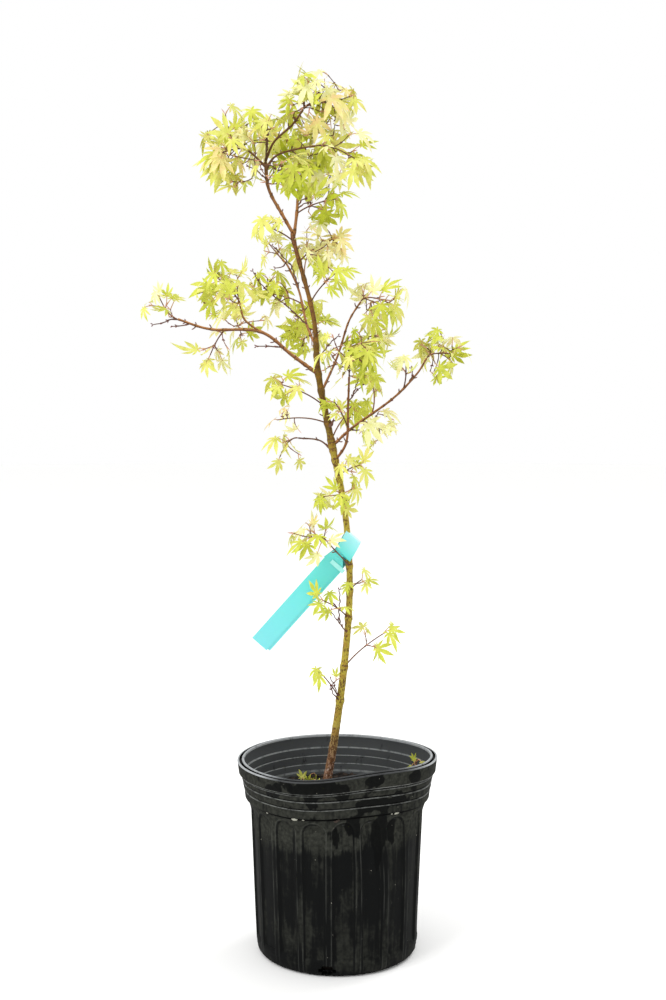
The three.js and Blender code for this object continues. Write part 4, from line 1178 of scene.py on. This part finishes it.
def room_in(mass, point, direction):
    """How far the mass reaches from a point along a direction."""
    place = (point - np.array(mass[2])) / np.array(mass[3])
    step = direction / np.array(mass[3])
    square, half, rest = step.dot(step), place.dot(step), place.dot(place) - 1
    inside = half * half - square * rest
    return 0 if inside <= 0 else max(0, (-half + math.sqrt(inside)) / square)


def stem_of(mass):
    """The three points of a stem's curve, from its limb through the middle of the mass."""
    limb, place, centre = mass[:3]
    middle = np.array(centre, float)
    root = np.array([centre[0], centre[1], SOIL_TOP + GAP])
    heading = UP
    if limb:
        t = place / (len(LIMBS[limb]) - 1)
        root, heading = limb_point(limb, t), limb_tangent(limb, t)
        if t == 1:
            root = root + heading * GAP
    across = middle - root
    far = np.linalg.norm(across)
    turn = STEM_TURN if limb and place < len(LIMBS[limb]) - 1 else 1
    heading = unit(heading * turn + across * (1 - turn) / far)
    out = across / far
    return root, root + heading * far / 2, middle + out * room_in(mass, middle, out) * STEM_END


def stem_point(stem, t):
    """The place a share of the way along a stem."""
    return stem[0] * (1 - t) ** 2 + stem[1] * 2 * t * (1 - t) + stem[2] * t * t


def stem_tangent(stem, t):
    """The direction of a stem there."""
    return unit((stem[1] - stem[0]) * (1 - t) + (stem[2] - stem[1]) * t)


limb_samples = [(limb_point(name, i / count), limb_radius(name, i / count))
                for name in LIMBS for count in [(len(LIMBS[name]) - 1) * 12] for i in range(count + 1)]
limb_places = np.array([place for place, _ in limb_samples])
bare_places = np.array([limb_point(name, i / 60) for name in BARE_LIMBS for i in range(61)])
limb_radii = np.array([radius for _, radius in limb_samples])
stems = [stem_of(mass) for mass in MASSES.values()]


class Occupied:
    """The places where things have grown, whose each one is, and whether it lies on a blade."""

    def __init__(self, room=40000):
        self.places = np.zeros((room, 3))
        self.owners = np.zeros(room, int)
        self.blades = np.zeros(room, bool)
        self.count = 0

    def add(self, points, owner, blade):
        end = self.count + len(points)
        self.places[self.count:end] = points
        self.owners[self.count:end] = owner
        self.blades[self.count:end] = blade
        self.count = end

    def is_clear(self, points, owner, gaps):
        """Whether the points keep their gaps to the tag, the limbs and all that has grown."""
        points = np.asarray(points)
        if not len(points):
            return True
        if near_tag(points):
            return False
        limb_gap, other_gap, blade_gap, twig_gap = gaps
        if np.any(np.linalg.norm(limb_places[:, None] - points, axis=2) < limb_radii[:, None] + limb_gap):
            return False
        centre = points.mean(axis=0)
        reach = np.linalg.norm(points - centre, axis=1).max() + max(gaps)
        near = np.linalg.norm(self.places[:self.count] - centre, axis=1) < reach
        places = self.places[:self.count][near]
        blades, owners = self.blades[:self.count][near], self.owners[:self.count][near]
        needed = np.where(owners != owner, other_gap, np.where(blades, blade_gap, twig_gap))
        return not np.any(np.linalg.norm(places[:, None] - points, axis=2) < needed[:, None])


occupied = Occupied()
for owner, stem in enumerate(stems):
    occupied.add([stem_point(stem, i / 12) for i in range(1, 13)], owner, False)


def near_tag(points):
    """Whether any point comes too near the tag."""
    away = points - np.array(TAG_SLOT)
    along, front, across = away @ tag_along, away @ tag_front, away @ tag_across
    thick = np.where(along > -TAG_CLEAR, TAG_LOOP_HALF + TAG_CLEAR, TAG_CLEAR)
    beside = (along > -TAG_TAIL - 2 * TAG_CLEAR) & (along < TAG_LOOP + TAG_CLEAR)
    return bool(np.any(beside & (np.abs(front) < thick) & (np.abs(across) < TAG_WIDTH / 2 + TAG_CLEAR)))


def seen_from_camera(points):
    """Where the camera sees points, as places a millimetre in front of it, and how far away they are."""
    away = points - np.array(CAMERA_PLACE)
    return away[:, [0, 2]] / away[:, 1:2], away[:, 1]


bare_seen, bare_depth = seen_from_camera(bare_places)


def hides_limb(points):
    """Whether any point lies in front of a bare limb."""
    seen, depth = seen_from_camera(points)
    apart = np.linalg.norm(bare_seen[:, None] - seen, axis=2) * depth
    return bool(np.any((apart < BARE_GAP) & (depth < bare_depth[:, None])))


def leaf_places(leaf):
    """The base of a leaf and three places on each of its lobes."""
    places = [leaf["base"]]
    for angle, length in LOBES:
        turn = math.radians(angle)
        axis = math.sin(turn) * leaf["across"] + math.cos(turn) * leaf["along"] - TIP_DROP * leaf["face"]
        places.extend(leaf["base"] + axis * length * share * leaf["size"] for share in LEAF_PLACES)
    return np.array(places)


def leaf_pose(aim, draw, light, weight):
    """A leaf aims out along its petiole and hangs over by its weight, with its face to the light."""
    droop = draw(*DROOPS) * weight
    sway = np.array([draw(-1, 1), draw(-1, 1), draw(-1, 1)])
    tilt = np.array([draw(-1, 1), draw(-1, 1), draw(-1, 1)])
    along = unit(aim * (1 - droop) - UP * droop + sway * SWAY)
    face = aim * FACE_OUT + light + tilt * TILT
    face = unit(face - face.dot(along) * along)
    if face.dot(aim) < 0:
        face = -face
    return {"along": along, "face": face, "across": np.cross(along, face)}


def grow_leaf(growth, foot, aim, draw):
    """One leaf on its petiole, in the first pose and size that has room."""
    full = BLADE * draw(*BLADE_SIZES) * growth["grown"]
    stalk = PETIOLE * draw(*PETIOLE_SIZES)
    poses = [leaf_pose(aim, draw, *growth["pose"]) for _ in range(3)]
    for scale in growth["scales"]:
        for pose in poses:
            base = foot + aim * max(SHORTEST_PETIOLE, stalk * scale)
            leaf = dict(pose, base=base, size=full * scale, foot=foot, aim=aim, spray=growth["spray"])
            places = leaf_places(leaf)
            if np.any(depth_in(growth["mass"], places) >= growth["overhang"]) or hides_limb(places):
                continue
            if not occupied.is_clear(places, growth["owner"], growth["gaps"]):
                continue
            occupied.add(places, growth["owner"], True)
            growth["leaves"].append(leaf)
            return


def grow_pair(growth, foot, heading, side, spread, draw):
    """Two opposite leaves from one node."""
    angle = math.radians(spread)
    for sign in (1, -1):
        grow_leaf(growth, foot, unit(heading * math.cos(angle) + side * sign * math.sin(angle)), draw)


def grow_mass(owner, name):
    """The stem, shoots and leaves of one mass, by the rule that gives the solid its shape."""
    mass = MASSES[name]
    draw = seeded(owner * 7919 + 17)
    stem = stems[owner]
    growth = {"mass": mass, "owner": owner, "stem": stem, "leaves": [], "shoots": [], "nodes": [],
              "spray": 0, "gaps": LEAF_GAPS, "scales": LEAF_SCALES, "grown": GROWN.get(name, 1),
              "overhang": TRIMMED_OVERHANG if name in TRIMMED else OVERHANG,
              "pose": (SEEDLING_LIGHT, SEEDLING_DROOP) if mass[0] is None else (LIGHT, 1)}
    enter = 0
    while enter < LAST_PAIR and depth_in(mass, stem_point(stem, enter)) > PAIR_DEPTH:
        enter += PAIR_STEP
    growth["enter"] = enter
    start = draw(0, 180)
    for i in range(mass[4]):
        t = enter + (LAST_PAIR - enter) * ((i + PAIR_START) / mass[4])
        origin = stem_point(stem, t)
        heading = stem_tangent(stem, t)
        level = unit(np.array([-heading[1], heading[0], 0]))
        side = turned_about(level, heading, start + 90 * i + draw(*PAIR_TURNS))
        growth["nodes"].append(t)
        for sign in (1, -1):
            lean = math.radians(draw(*SHOOT_LEANS))
            share = draw(*SHOOT_SHARES)
            aim = unit(heading * math.cos(lean) + side * sign * math.sin(lean) + UP * SHOOT_LIFT)
            length = max(SHORTEST_SHOOT, room_in(mass, origin, aim) * share - PETIOLE)
            end = origin + aim * length
            steps = math.ceil(length / SHOOT_STEP)
            places = [origin + (end - origin) * k / steps for k in range(1, steps + 1)]
            fits = occupied.is_clear(places[1:], owner, SHOOT_GAPS)
            wing = turned_about(unit(np.cross(aim, heading)), aim, draw(*WING_TURNS))
            if fits:
                occupied.add(places, owner, False)
                growth["shoots"].append((origin, end, heading))
            growth["spray"] += 1
            grow_pair(growth, end if fits else origin, aim, wing, draw(*PAIR_SPREADS), draw)
    tip, heading = stem_point(stem, 1), stem_tangent(stem, 1)
    wing = turned_about(unit(np.array([-heading[1], heading[0], 0])), heading, draw(0, 180))
    growth["spray"] += 1
    grow_pair(growth, tip, heading, wing, draw(*PAIR_SPREADS), draw)
    grow_leaf(growth, tip, heading, draw)
    return growth


def fill_mass(name, growth):
    """Finer twigs that reach for the emptiest places, each with a pair of leaves, until the mass is full."""
    dice = random.Random(name)
    owner, stem = growth["owner"], growth["stem"]
    centre, reach = np.array(growth["mass"][2]), np.array(growth["mass"][3])
    wanted = max(FEWEST_LEAVES, reach.prod() * BALL / LEAF_ROOM) * FULLNESS.get(name, 1)
    growth["gaps"], growth["scales"] = FINE_GAPS, FINE_SCALES
    joints = [(stem_point(stem, t), stem_tangent(stem, t)) for t in np.linspace(growth["enter"], 1, 8)]
    for origin, end, _ in growth["shoots"]:
        joints.extend((origin + (end - origin) * share, unit(end - origin)) for share in (0.35, 0.65, 1))
    for _ in range(TWIG_TRIES):
        if len(growth["leaves"]) >= wanted:
            return
        taken = np.array([leaf["base"] for leaf in growth["leaves"]] or [centre])
        spots = []
        for _ in range(SPOTS):
            way = unit(np.array([dice.gauss(0, 1), dice.gauss(0, 1), dice.gauss(0, 1)]))
            spots.append(centre + reach * way * FINE_DEPTH * dice.random() ** 0.4)
        spot = max(spots, key=lambda place: np.linalg.norm(taken - place, axis=1).min())
        origin, heading = min(joints, key=lambda joint: np.linalg.norm(joint[0] - spot))
        length = np.linalg.norm(spot - origin)
        if not FINE_TWIGS[0] < length < FINE_TWIGS[1]:
            continue
        aim = (spot - origin) / length
        steps = math.ceil(length / FINE_STEP)
        places = [origin + (spot - origin) * k / steps for k in range(1, steps + 1)]
        if aim.dot(heading) < FINE_ONWARD or not occupied.is_clear(places[1:], owner, FINE_GAPS):
            continue
        before = len(growth["leaves"])
        growth["spray"] += 1
        wing = turned_about(level_side(aim), aim, dice.uniform(0, 180))
        grow_pair(growth, spot, aim, wing, dice.uniform(*PAIR_SPREADS), dice.uniform)
        if len(growth["leaves"]) > before:
            occupied.add(places, owner, False)
            growth["shoots"].append((origin, spot, heading))
            joints.extend([(places[len(places) // 2], aim), (spot, aim)])


def level_side(heading):
    """A direction square to the heading, level unless the heading is upright."""
    flat = np.array([-heading[1], heading[0], 0])
    return unit(flat) if np.linalg.norm(flat) > 0.05 else np.array([1.0, 0, 0])


growths = {name: grow_mass(owner, name) for owner, name in enumerate(MASSES)}
for name, growth in growths.items():
    fill_mass(name, growth)

# Petioles are soft green stalks flushed with pink, a third of a millimetre thick where they bend.
petiole_skin, _ = new_material("flushed_petiole", Base_Color=linear("#c49a68"), Roughness=0.5,
                               Specular_IOR_Level=0.4)
# Bud scales stay at each node after the leaves open: thin, papery and pink.
bud_scale, _ = new_material("papery_bud_scale", Base_Color=linear("#c48f78"), Roughness=0.7)
# Winter buds are small, pointed and dark red.
bud_skin, _ = new_material("dark_red_bud", Base_Color=linear("#6e2f2b"), Roughness=0.45)
TWIG_FINISHES = [twig_bark, petiole_skin, bud_scale, bud_skin]
TWIG_NODE_SWELL = 0.45
TWIG_NODE_WIDTH = 1.2
BUD_LENGTH = 2
BUD_RADIUS = 0.5
BUD_SIZES = (0.7, 1.2)
BUD_LEAN = 0.9
SCALE_LENGTH = 4.2
SCALE_WIDTH = 1.0
SCALE_SHARE = 0.7
SCALE_SIZES = (0.6, 1.2)
# How much a shoot keeps of its carrier's heading as it bows out, and its nodes as shares of it.
SHOOT_BOW = 0.35
SHOOT_TAPER = 0.8
SHOOT_KNOTS = (0.5, 0.97)
# A petiole arches up, thins towards the blade and runs on a little along it and behind it.
PETIOLE_RADIUS = 0.34
PETIOLE_TAPER = (1.3, 0.8)
PETIOLE_ARCH = 0.12
PETIOLE_HOOK = (0.6, 0.25)
BUD_PROFILE = ((0, 0.55), (0.18, 0.9), (0.4, 1), (0.65, 0.75), (0.85, 0.38), (1, 0.06))
# The parts of the plant whose masses make one piece of twigs and one of leaves each.
REGIONS = {
    "crown": "crown_top crown_left crown_right crown_centre crown_low_right crown_inner crown_back "
             "crown_front",
    "neck": "neck_left upper_right upper_low upper_back inner_top inner_side",
    "left": "left_high left_tip left_low left_back low_left_front",
    "middle": "inner_front inner_back centre_low right_low_back twig_high twig_low",
    "right": "right_high right_high_low right_tip right_tip_inner right_mid right_low",
    "lower": "low_right knee tag_spray below_tag shin_left shin_right ankle_left",
    "seedlings": "sprout_left sprout_right",
}


def bud(heap, at, heading, size):
    """A pointed bud with its foot at a place."""
    path = [at + heading * (BUD_LENGTH * size) * share for share, _ in BUD_PROFILE]
    tube(heap, path, [BUD_RADIUS * wide for _, wide in BUD_PROFILE], 6, 3)


def curled_scale(heap, at, heading, out, length, width):
    """A narrow papery strip that curls away from a node."""
    side = unit(np.cross(heading, out))
    points = []
    for share, wide in [(0, 0.5), (0.35, 1), (0.7, 0.8), (1, 0.12)]:
        centre = at + heading * length * share * 0.8 + out * length * (0.15 + 0.5 * share * share)
        points.extend([centre - side * width * wide / 2, centre + side * width * wide / 2])
    heap.add(points, [(2 * i, 2 * i + 1, 2 * i + 3, 2 * i + 2) for i in range(3)], 2)


def twig(heap, path, start, end, nodes, sides=7):
    """A thin shoot that tapers, with a small swelling at each of its nodes, given as shares of it."""
    shares = np.linspace(0, 1, len(path))
    radii = start + (end - start) * shares
    for node in nodes:
        radii = radii * (1 + TWIG_NODE_SWELL * np.exp(-((shares - node) * len(path) / TWIG_NODE_WIDTH) ** 2))
    tube(heap, path, radii, sides, 0)


def node_dressing(heap, at, heading, side, dice, buds):
    """What grows at a node: a pair of winter buds, or the papery scales of opened ones."""
    for sign in (1, -1):
        out = unit(side * sign + heading * 0.25)
        if buds:
            bud(heap, at + out * TWIG * 0.6, unit(out + heading * BUD_LEAN), dice.uniform(*BUD_SIZES))
        elif dice.random() < SCALE_SHARE:
            curled_scale(heap, at, heading, out, SCALE_LENGTH * dice.uniform(*SCALE_SIZES), SCALE_WIDTH)


for region in REGIONS:
    dice = random.Random(region)
    heap = Heap()
    members = REGIONS[region].split()
    for name in members:
        growth = growths[name]
        stem = growth["stem"]
        path = [stem_point(stem, i / 40) for i in range(41)]
        twig(heap, path, TWIG, TWIG_TIP, growth["nodes"])
        for t in growth["nodes"]:
            heading = stem_tangent(stem, t)
            node_dressing(heap, stem_point(stem, t), heading, level_side(heading), dice, buds=False)
        for origin, end, heading in growth["shoots"]:
            direction = unit(end - origin)
            aim = heading * SHOOT_BOW + direction * (1 - SHOOT_BOW)
            bend = origin + aim * np.linalg.norm(end - origin) * 0.5
            path = [stem_point((origin, bend, end), i / 16) for i in range(17)]
            twig(heap, path, SHOOT_RADIUS, SHOOT_RADIUS * SHOOT_TAPER, SHOOT_KNOTS, sides=5)
            if region == "seedlings":
                continue
            node_dressing(heap, path[8], direction, level_side(direction), dice, buds=dice.random() < 0.5)
            node_dressing(heap, end, direction, level_side(direction), dice, buds=False)
        for leaf in growth["leaves"]:
            foot, base = leaf["foot"], leaf["base"]
            bend = (foot + base) / 2 + UP * PETIOLE_ARCH * np.linalg.norm(base - foot)
            path = [stem_point((foot, bend, base), i / 8) for i in range(9)]
            path.append(base + leaf["along"] * PETIOLE_HOOK[0] - leaf["face"] * PETIOLE_HOOK[1])
            start, end = [PETIOLE_RADIUS * share for share in PETIOLE_TAPER]
            tube(heap, path, np.linspace(start, end, len(path)), 5, 1)
    twigs = new_piece(f"{region}_twigs", heap.points, heap.faces, TWIG_FINISHES, heap.finishes)
    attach(twigs, "root")
    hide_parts(*members)

# The bare twigs
# Some of last year's side shoots carry only closed buds, and a few have died back. They are thin,
# dark and a little crooked, with opposite pairs of small pointed buds.

BARE_TWIGS = {
    "dead_leader": [(-31, 9, 544), (-37, 8, 562), (-43, 7, 568), (-48, 7, 574), (-52.4, 6, 578)],
    "dead_leader_side": [(-40.8, 7.5, 565), (-44.4, 6, 560.5), (-49.8, 5, 559.7)],
    "side_by_side": [(-24.5, 4, 514), (-41.4, 2, 530), (-53.8, 1, 539), (-62.9, 0, 548), (-67.8, 0, 557)],
    "under_bough": [(-45, -7, 495.6), (-55.4, -9, 496.4), (-65.3, -10, 496.2)],
    "bough_tip": [(-127, -8, 517.6), (-132.6, -9, 518), (-139.8, -10, 514.6), (-147.9, -10, 513.4)],
    "under_tip": [(-117, -7.2, 514.4), (-124.6, -9, 512.6), (-132.3, -10, 512)],
    "right_fork": [(9, -14, 452), (14.8, -15, 460), (21.1, -15, 465.4)],
    "right_fork_up": [(12, -14.5, 456), (14.4, -16, 462), (16.6, -17, 469)],
    "dead_stub": [(-7, -3, 431), (-4.4, -6, 434.4), (-2.6, -8, 437)],
    "low_right_stub": [(10.6, -4, 430), (14.9, -7, 428.8), (20.3, -8, 429.7)],
    "middle_up": [
        (-15.6, -3, 487), (-11.3, -6, 491.4), (-6.8, -8, 497.7), (-2.3, -8, 502.1), (1.3, -8, 504.5),
    ],
    "right_bud": [(58, -8, 467.6), (60.8, -10, 474), (59.4, -11, 479)],
    "shin_twig": [(8.9, 2, 262), (7.2, -1, 264.4), (2.1, -3, 271.4), (-2.5, -4, 277.7), (-5.4, -5, 282.4)],
    "shin_twig_up": [(2.4, -3, 271.2), (1.5, -5, 279.5), (2.3, -7, 291), (1.8, -7, 299.7)],
    "ankle_twig": [(2.6, 1, 209), (-0.2, -2, 213.3), (-2.5, -4, 221.4), (-5.4, -5, 226.1)],
    "ankle_twig_side": [(1.8, 0, 207), (-3.6, -3, 213.3), (-5.2, -4, 219.7)],
    "crown_side": [(-56.4, 8, 630), (-59.5, 6, 632.9), (-65, 4, 637.8), (-71.8, 2, 640.4)],
    "crown_dead": [(-57.8, 8, 646), (-56, 6, 655), (-56, 5, 660.5), (-55.4, 4, 668.2)],
    "crown_right_side": [(-32, 8, 609), (-28.7, 5, 614.1), (-22.5, 3, 615.7)],
    "crown_right_low": [(-32, 7, 607), (-27, 4, 611), (-22, 2, 611.6)],
    "top_left": [(-26.4, 1, 686), (-26.6, -1, 690.7), (-27.6, -2, 694)],
    "top_right": [(-26, 1, 687), (-20, -2, 690), (-13.5, -4, 692.9)],
}
BARE_RADII = (0.6, 0.36)
STUB_RADII = (1.5, 0.9)
FIRST_BUD = (3, 5)
BUD_SPACING = (5, 9)
LAST_BUD = 2
CLOSED_BUDS = (0.7, 1.1)
TWIG_ROW = 0.8
KNOT_SWELL = 0.4
CROOK = 0.35
SPURS = (0.8, 3.2)
SPUR_RADII = (0.6, 0.5, 0.45)
SPUR_SHARE = 0.7

dice = random.Random(5)
heap = Heap()
for name, corners in BARE_TWIGS.items():
    corners = np.array(corners, float)
    spans = np.linalg.norm(np.diff(corners, axis=0), axis=1)
    walked = np.concatenate([[0], np.cumsum(spans)])
    count = int(walked[-1] / TWIG_ROW) + 2
    distances = np.linspace(0, walked[-1], count)
    path = smoothed(np.stack([np.interp(distances, walked, corners[:, k]) for k in range(3)], 1))
    buds, at = [], dice.uniform(*FIRST_BUD)
    while at < walked[-1] - LAST_BUD:
        buds.append(at)
        at += dice.uniform(*BUD_SPACING)
    path[:, 0] += [CROOK * math.sin(distance * 1.1 + len(name)) for distance in distances]
    path[:, 1] += [CROOK * math.cos(distance * 0.9) for distance in distances]
    start, end = STUB_RADII if name == "dead_stub" else BARE_RADII
    radii = start + (end - start) * distances / walked[-1]
    for knot in buds:
        radii = radii * (1 + KNOT_SWELL * np.exp(-((distances - knot) / TWIG_ROW) ** 2))
    tube(heap, path, radii, 6, 0)
    for index, knot in enumerate([*buds, walked[-1]]):
        row = int(np.searchsorted(distances, knot - 1e-6))
        heading = unit(path[min(row + 1, count - 1)] - path[max(row - 1, 0)])
        side = turned_about(level_side(heading), heading, 90 * index + 20)
        for sign in (1, -1):
            out = unit(side * sign * 0.7 + heading)
            bud(heap, path[min(row, count - 1)] + side * sign * 0.4, out, dice.uniform(*CLOSED_BUDS))
# Short spurs stand in pairs at the rings of the boughs, each with a bud at its end.
for at, heading, radius in limb_nodes:
    side = turned_about(level_side(heading), heading, dice.uniform(0, 180))
    for sign in (1, -1):
        out = unit(side * sign + heading * 0.5)
        foot = at + out * radius * 0.7
        tip = foot + out * dice.uniform(*SPURS)
        if dice.random() < SPUR_SHARE:
            tube(heap, [foot, (foot + tip) / 2, tip], SPUR_RADII, 6, 0)
            bud(heap, tip - out * 0.2, unit(out + heading * 0.5), dice.uniform(*CLOSED_BUDS))
bare_finishes = [dry_bark, petiole_skin, bud_scale, bud_skin]
bare = new_piece("bare_twigs", heap.points, heap.faces, bare_finishes, heap.finishes)
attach(bare, "root")

# The leaves
# Each blade has five long pointed lobes and two short ones at its foot, with saw-toothed edges and a
# slight trough along each lobe. Young blades hang a little, like an umbrella.

BASAL_LOBES = ((-124, 0.27), (124, 0.27))
NOTCH = 0.122
FOOT_NOTCH = 0.09
FOOT_ANGLE = 26
LOBE_WIDTH = 0.12
WIDEST = 0.42
TIP_TAPER = 1.35
TOOTH = 0.16
TOOTH_LEAN = 0.3
WELD = 0.008
LOBE_STEPS = 13
FOLDS = (0.1, 0.32)
CURLS = (0.04, 0.22)
LOBE_DROPS = (-0.12, 0.34)
LOBE_BENDS = (-0.14, 0.14)
LOBE_CHANGES = (0.88, 1.1)
LOBE_SWAY = (-5, 5)
BASAL_CHANGES = (0.6, 1.3)
CREASE_START = 0.3
CREASE_CURVE = 1.6
OPENING = (0.72, 1.08)
CLOSED_DROP = 0.9
COLUMNS = (-1, -0.5, 0, 0.5, 1)

# The tints partly paint light and shade: deep stands for leaves shaded where they overlap, and pale for
# leaves that light shines through.
TINTS = {
    "deep": ("#b9c22e", "#9ba426"),
    "lime": ("#d0d652", "#b6bd3c"),
    "fresh": ("#dcdd7a", "#c9cb54"),
    "pale": ("#ecebb6", "#dddc8e"),
    "apricot": ("#ece09a", "#dbd376"),
    "blush": ("#efdaa4", "#e2cb86"),
}
BLUSH = "#ecc08e"
BLUSH_PATCH = 8
BLUSH_SHARES = {"deep": 0, "lime": 0.08, "fresh": 0.18, "pale": 0.2, "apricot": 0.55, "blush": 0.8}
VEIN_CELL = 1.6
MOTTLE = 6

# New maple leaf: thin, soft and faintly glossy, full of light, and flushed with pink in places. A net
# of fine veins lifts its skin.
leaf_materials = []
for tint, (light_side, dark_side) in TINTS.items():
    blade_skin, node = new_material(f"new_leaf_{tint}", IOR=1.42, Roughness=0.5, Specular_IOR_Level=0.3)
    place = node("TexCoord", out="Object")
    mottle = node("TexNoise", place, per_metre(MOTTLE), 3)
    spread = node("MapRange", mottle, 0.35, 0.65)
    green = node("Mix", spread, dark_side, light_side, data_type="RGBA")
    flush = node("TexNoise", place, per_metre(BLUSH_PATCH), 2)
    pink = node("MapRange", flush, 0.47, 0.62, To_Max=BLUSH_SHARES[tint])
    colour = node("Mix", pink, green, BLUSH, data_type="RGBA")
    veins = node("TexVoronoi", place, per_metre(VEIN_CELL), feature="DISTANCE_TO_EDGE")
    relief = node("Bump", Height=veins, Strength=0.25, Distance=0.12 * MM)
    connect(blade_skin, Base_Color=colour, Normal=relief)
    leaf_materials.append(blade_skin)

# Which tints a mass has, from the light at its side of the plant: names repeat to be dealt more often.
MASS_TINTS = {
    "crown_top": "lime fresh apricot lime fresh pale fresh lime pale",
    "crown_left": "fresh lime fresh lime fresh lime pale apricot",
    "crown_right": "fresh pale lime fresh pale",
    "crown_centre": "deep lime fresh lime deep pale lime",
    "crown_low_right": "lime deep lime",
    "crown_inner": "pale fresh lime apricot",
    "crown_back": "fresh lime pale",
    "crown_front": "deep lime fresh",
    "neck_left": "fresh pale",
    "upper_right": "pale fresh pale pale apricot",
    "upper_low": "deep lime lime",
    "left_high": "fresh lime fresh pale fresh",
    "left_tip": "fresh pale lime",
    "left_low": "fresh pale lime",
    "inner_side": "fresh lime pale",
    "low_left_front": "lime fresh lime",
    "inner_front": "lime deep fresh lime",
    "right_high": "fresh pale lime fresh pale",
    "right_tip": "fresh lime pale",
    "right_mid": "lime fresh pale",
    "right_low": "lime lime pale",
    "twig_high": "apricot blush pale",
    "twig_low": "fresh apricot fresh",
    "tag_spray": "lime fresh pale lime apricot fresh",
    "below_tag": "lime fresh",
    "shin_right": "fresh lime pale fresh",
    "sprout_left": "fresh lime",
    "sprout_right": "fresh lime",
}
COMMON_TINTS = "fresh lime pale lime"


def lobe_margin(length, half_angle, notch, width):
    """Places on one side of a lobe, as distances along it and out from it, from the base to the tip."""
    turn = math.radians(half_angle)
    sinus, half = notch * math.cos(turn), notch * math.sin(turn)
    widest = max(width * length, half * 1.02)
    places = [(0, 0), (sinus / 2, half / 2), (sinus, half)]
    for k in range(1, LOBE_STEPS + 1):
        share = k / LOBE_STEPS
        tooth = k % 2 and k < LOBE_STEPS
        if share < WIDEST:
            out = half + (widest - half) * (1 - math.cos(math.pi * share / WIDEST)) / 2
        else:
            rest = (share - WIDEST) / (1 - WIDEST)
            out = widest * (1 - rest) ** TIP_TAPER * (1 + 0.9 * rest)
        along = sinus + (length - sinus) * (share + (TOOTH_LEAN / LOBE_STEPS if tooth else 0))
        places.append((along, out * (1 + TOOTH) if tooth else out))
    return places


def add_blade(heap, leaf, tint, dice):
    """One leaf blade, lobe by lobe."""
    opened = min(1, dice.uniform(*OPENING))
    lobes = [((angle + dice.uniform(*LOBE_SWAY)) * opened, length * dice.uniform(*LOBE_CHANGES))
             for angle, length in LOBES]
    basal = [(angle, length * dice.uniform(*BASAL_CHANGES)) for angle, length in BASAL_LOBES]
    lobes = [basal[0], *lobes, basal[1]]
    fold, curl = dice.uniform(*FOLDS), dice.uniform(*CURLS)
    size = leaf["size"] * BLADE_SHOWN
    for index, (angle, length) in enumerate(lobes):
        margins = []
        for step in (-1, 1):
            other = index + step
            if 0 <= other < len(lobes):
                half_angle = abs(lobes[other][0] - angle) / 2
                notch = NOTCH * (length + lobes[other][1])
            else:
                half_angle, notch = FOOT_ANGLE, FOOT_NOTCH
            margins.append(lobe_margin(length, half_angle, notch, LOBE_WIDTH * (0.5 + 0.5 * opened)))
        drop = dice.uniform(*LOBE_DROPS) + CLOSED_DROP * (1 - opened)
        bend = dice.uniform(*LOBE_BENDS)
        turn = math.radians(angle)
        points, faces = [], []
        for row, (left, right) in enumerate(zip(*margins)):
            middle = (left[0] + right[0]) / 2
            for column, share in enumerate(COLUMNS):
                edge = left if share < 0 else right
                along = middle + (edge[0] - middle) * abs(share)
                out = share * edge[1]
                beyond = max(0, along - CREASE_START)
                rise = fold * abs(out) - curl * (along * along + out * out) - drop * beyond ** CREASE_CURVE
                out = out + bend * beyond * beyond
                forward = math.cos(turn) * along - math.sin(turn) * out
                sideways = math.sin(turn) * along + math.cos(turn) * out
                points.append(leaf["base"] + size * (forward * leaf["along"] + sideways * leaf["across"]
                                                    + rise * leaf["face"]))
                if row and column:
                    corner = row * len(COLUMNS) + column
                    faces.append((corner - len(COLUMNS) - 1, corner - len(COLUMNS), corner, corner - 1))
        heap.add(points, faces, tint)


def weld(piece):
    """Joins the points that the lobes of a leaf share."""
    shape = bmesh.new()
    shape.from_mesh(piece.data)
    bmesh.ops.remove_doubles(shape, verts=shape.verts, dist=WELD * MM)
    shape.to_mesh(piece.data)
    shape.free()


tint_names = list(TINTS)
for region in REGIONS:
    dice = random.Random(region + "_leaves")
    heap = Heap()
    members = REGIONS[region].split()
    for name in members:
        growth = growths[name]
        dealt = MASS_TINTS.get(name, COMMON_TINTS).split()
        sprays = [dice.choice(dealt) for _ in range(growth["spray"] + 1)]
        for leaf in growth["leaves"]:
            add_blade(heap, leaf, tint_names.index(sprays[leaf["spray"]]), dice)
    blades = new_piece(f"{region}_leaves", heap.points, heap.faces, leaf_materials, heap.finishes)
    weld(blades)
    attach(blades, "root")
    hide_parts(*members)
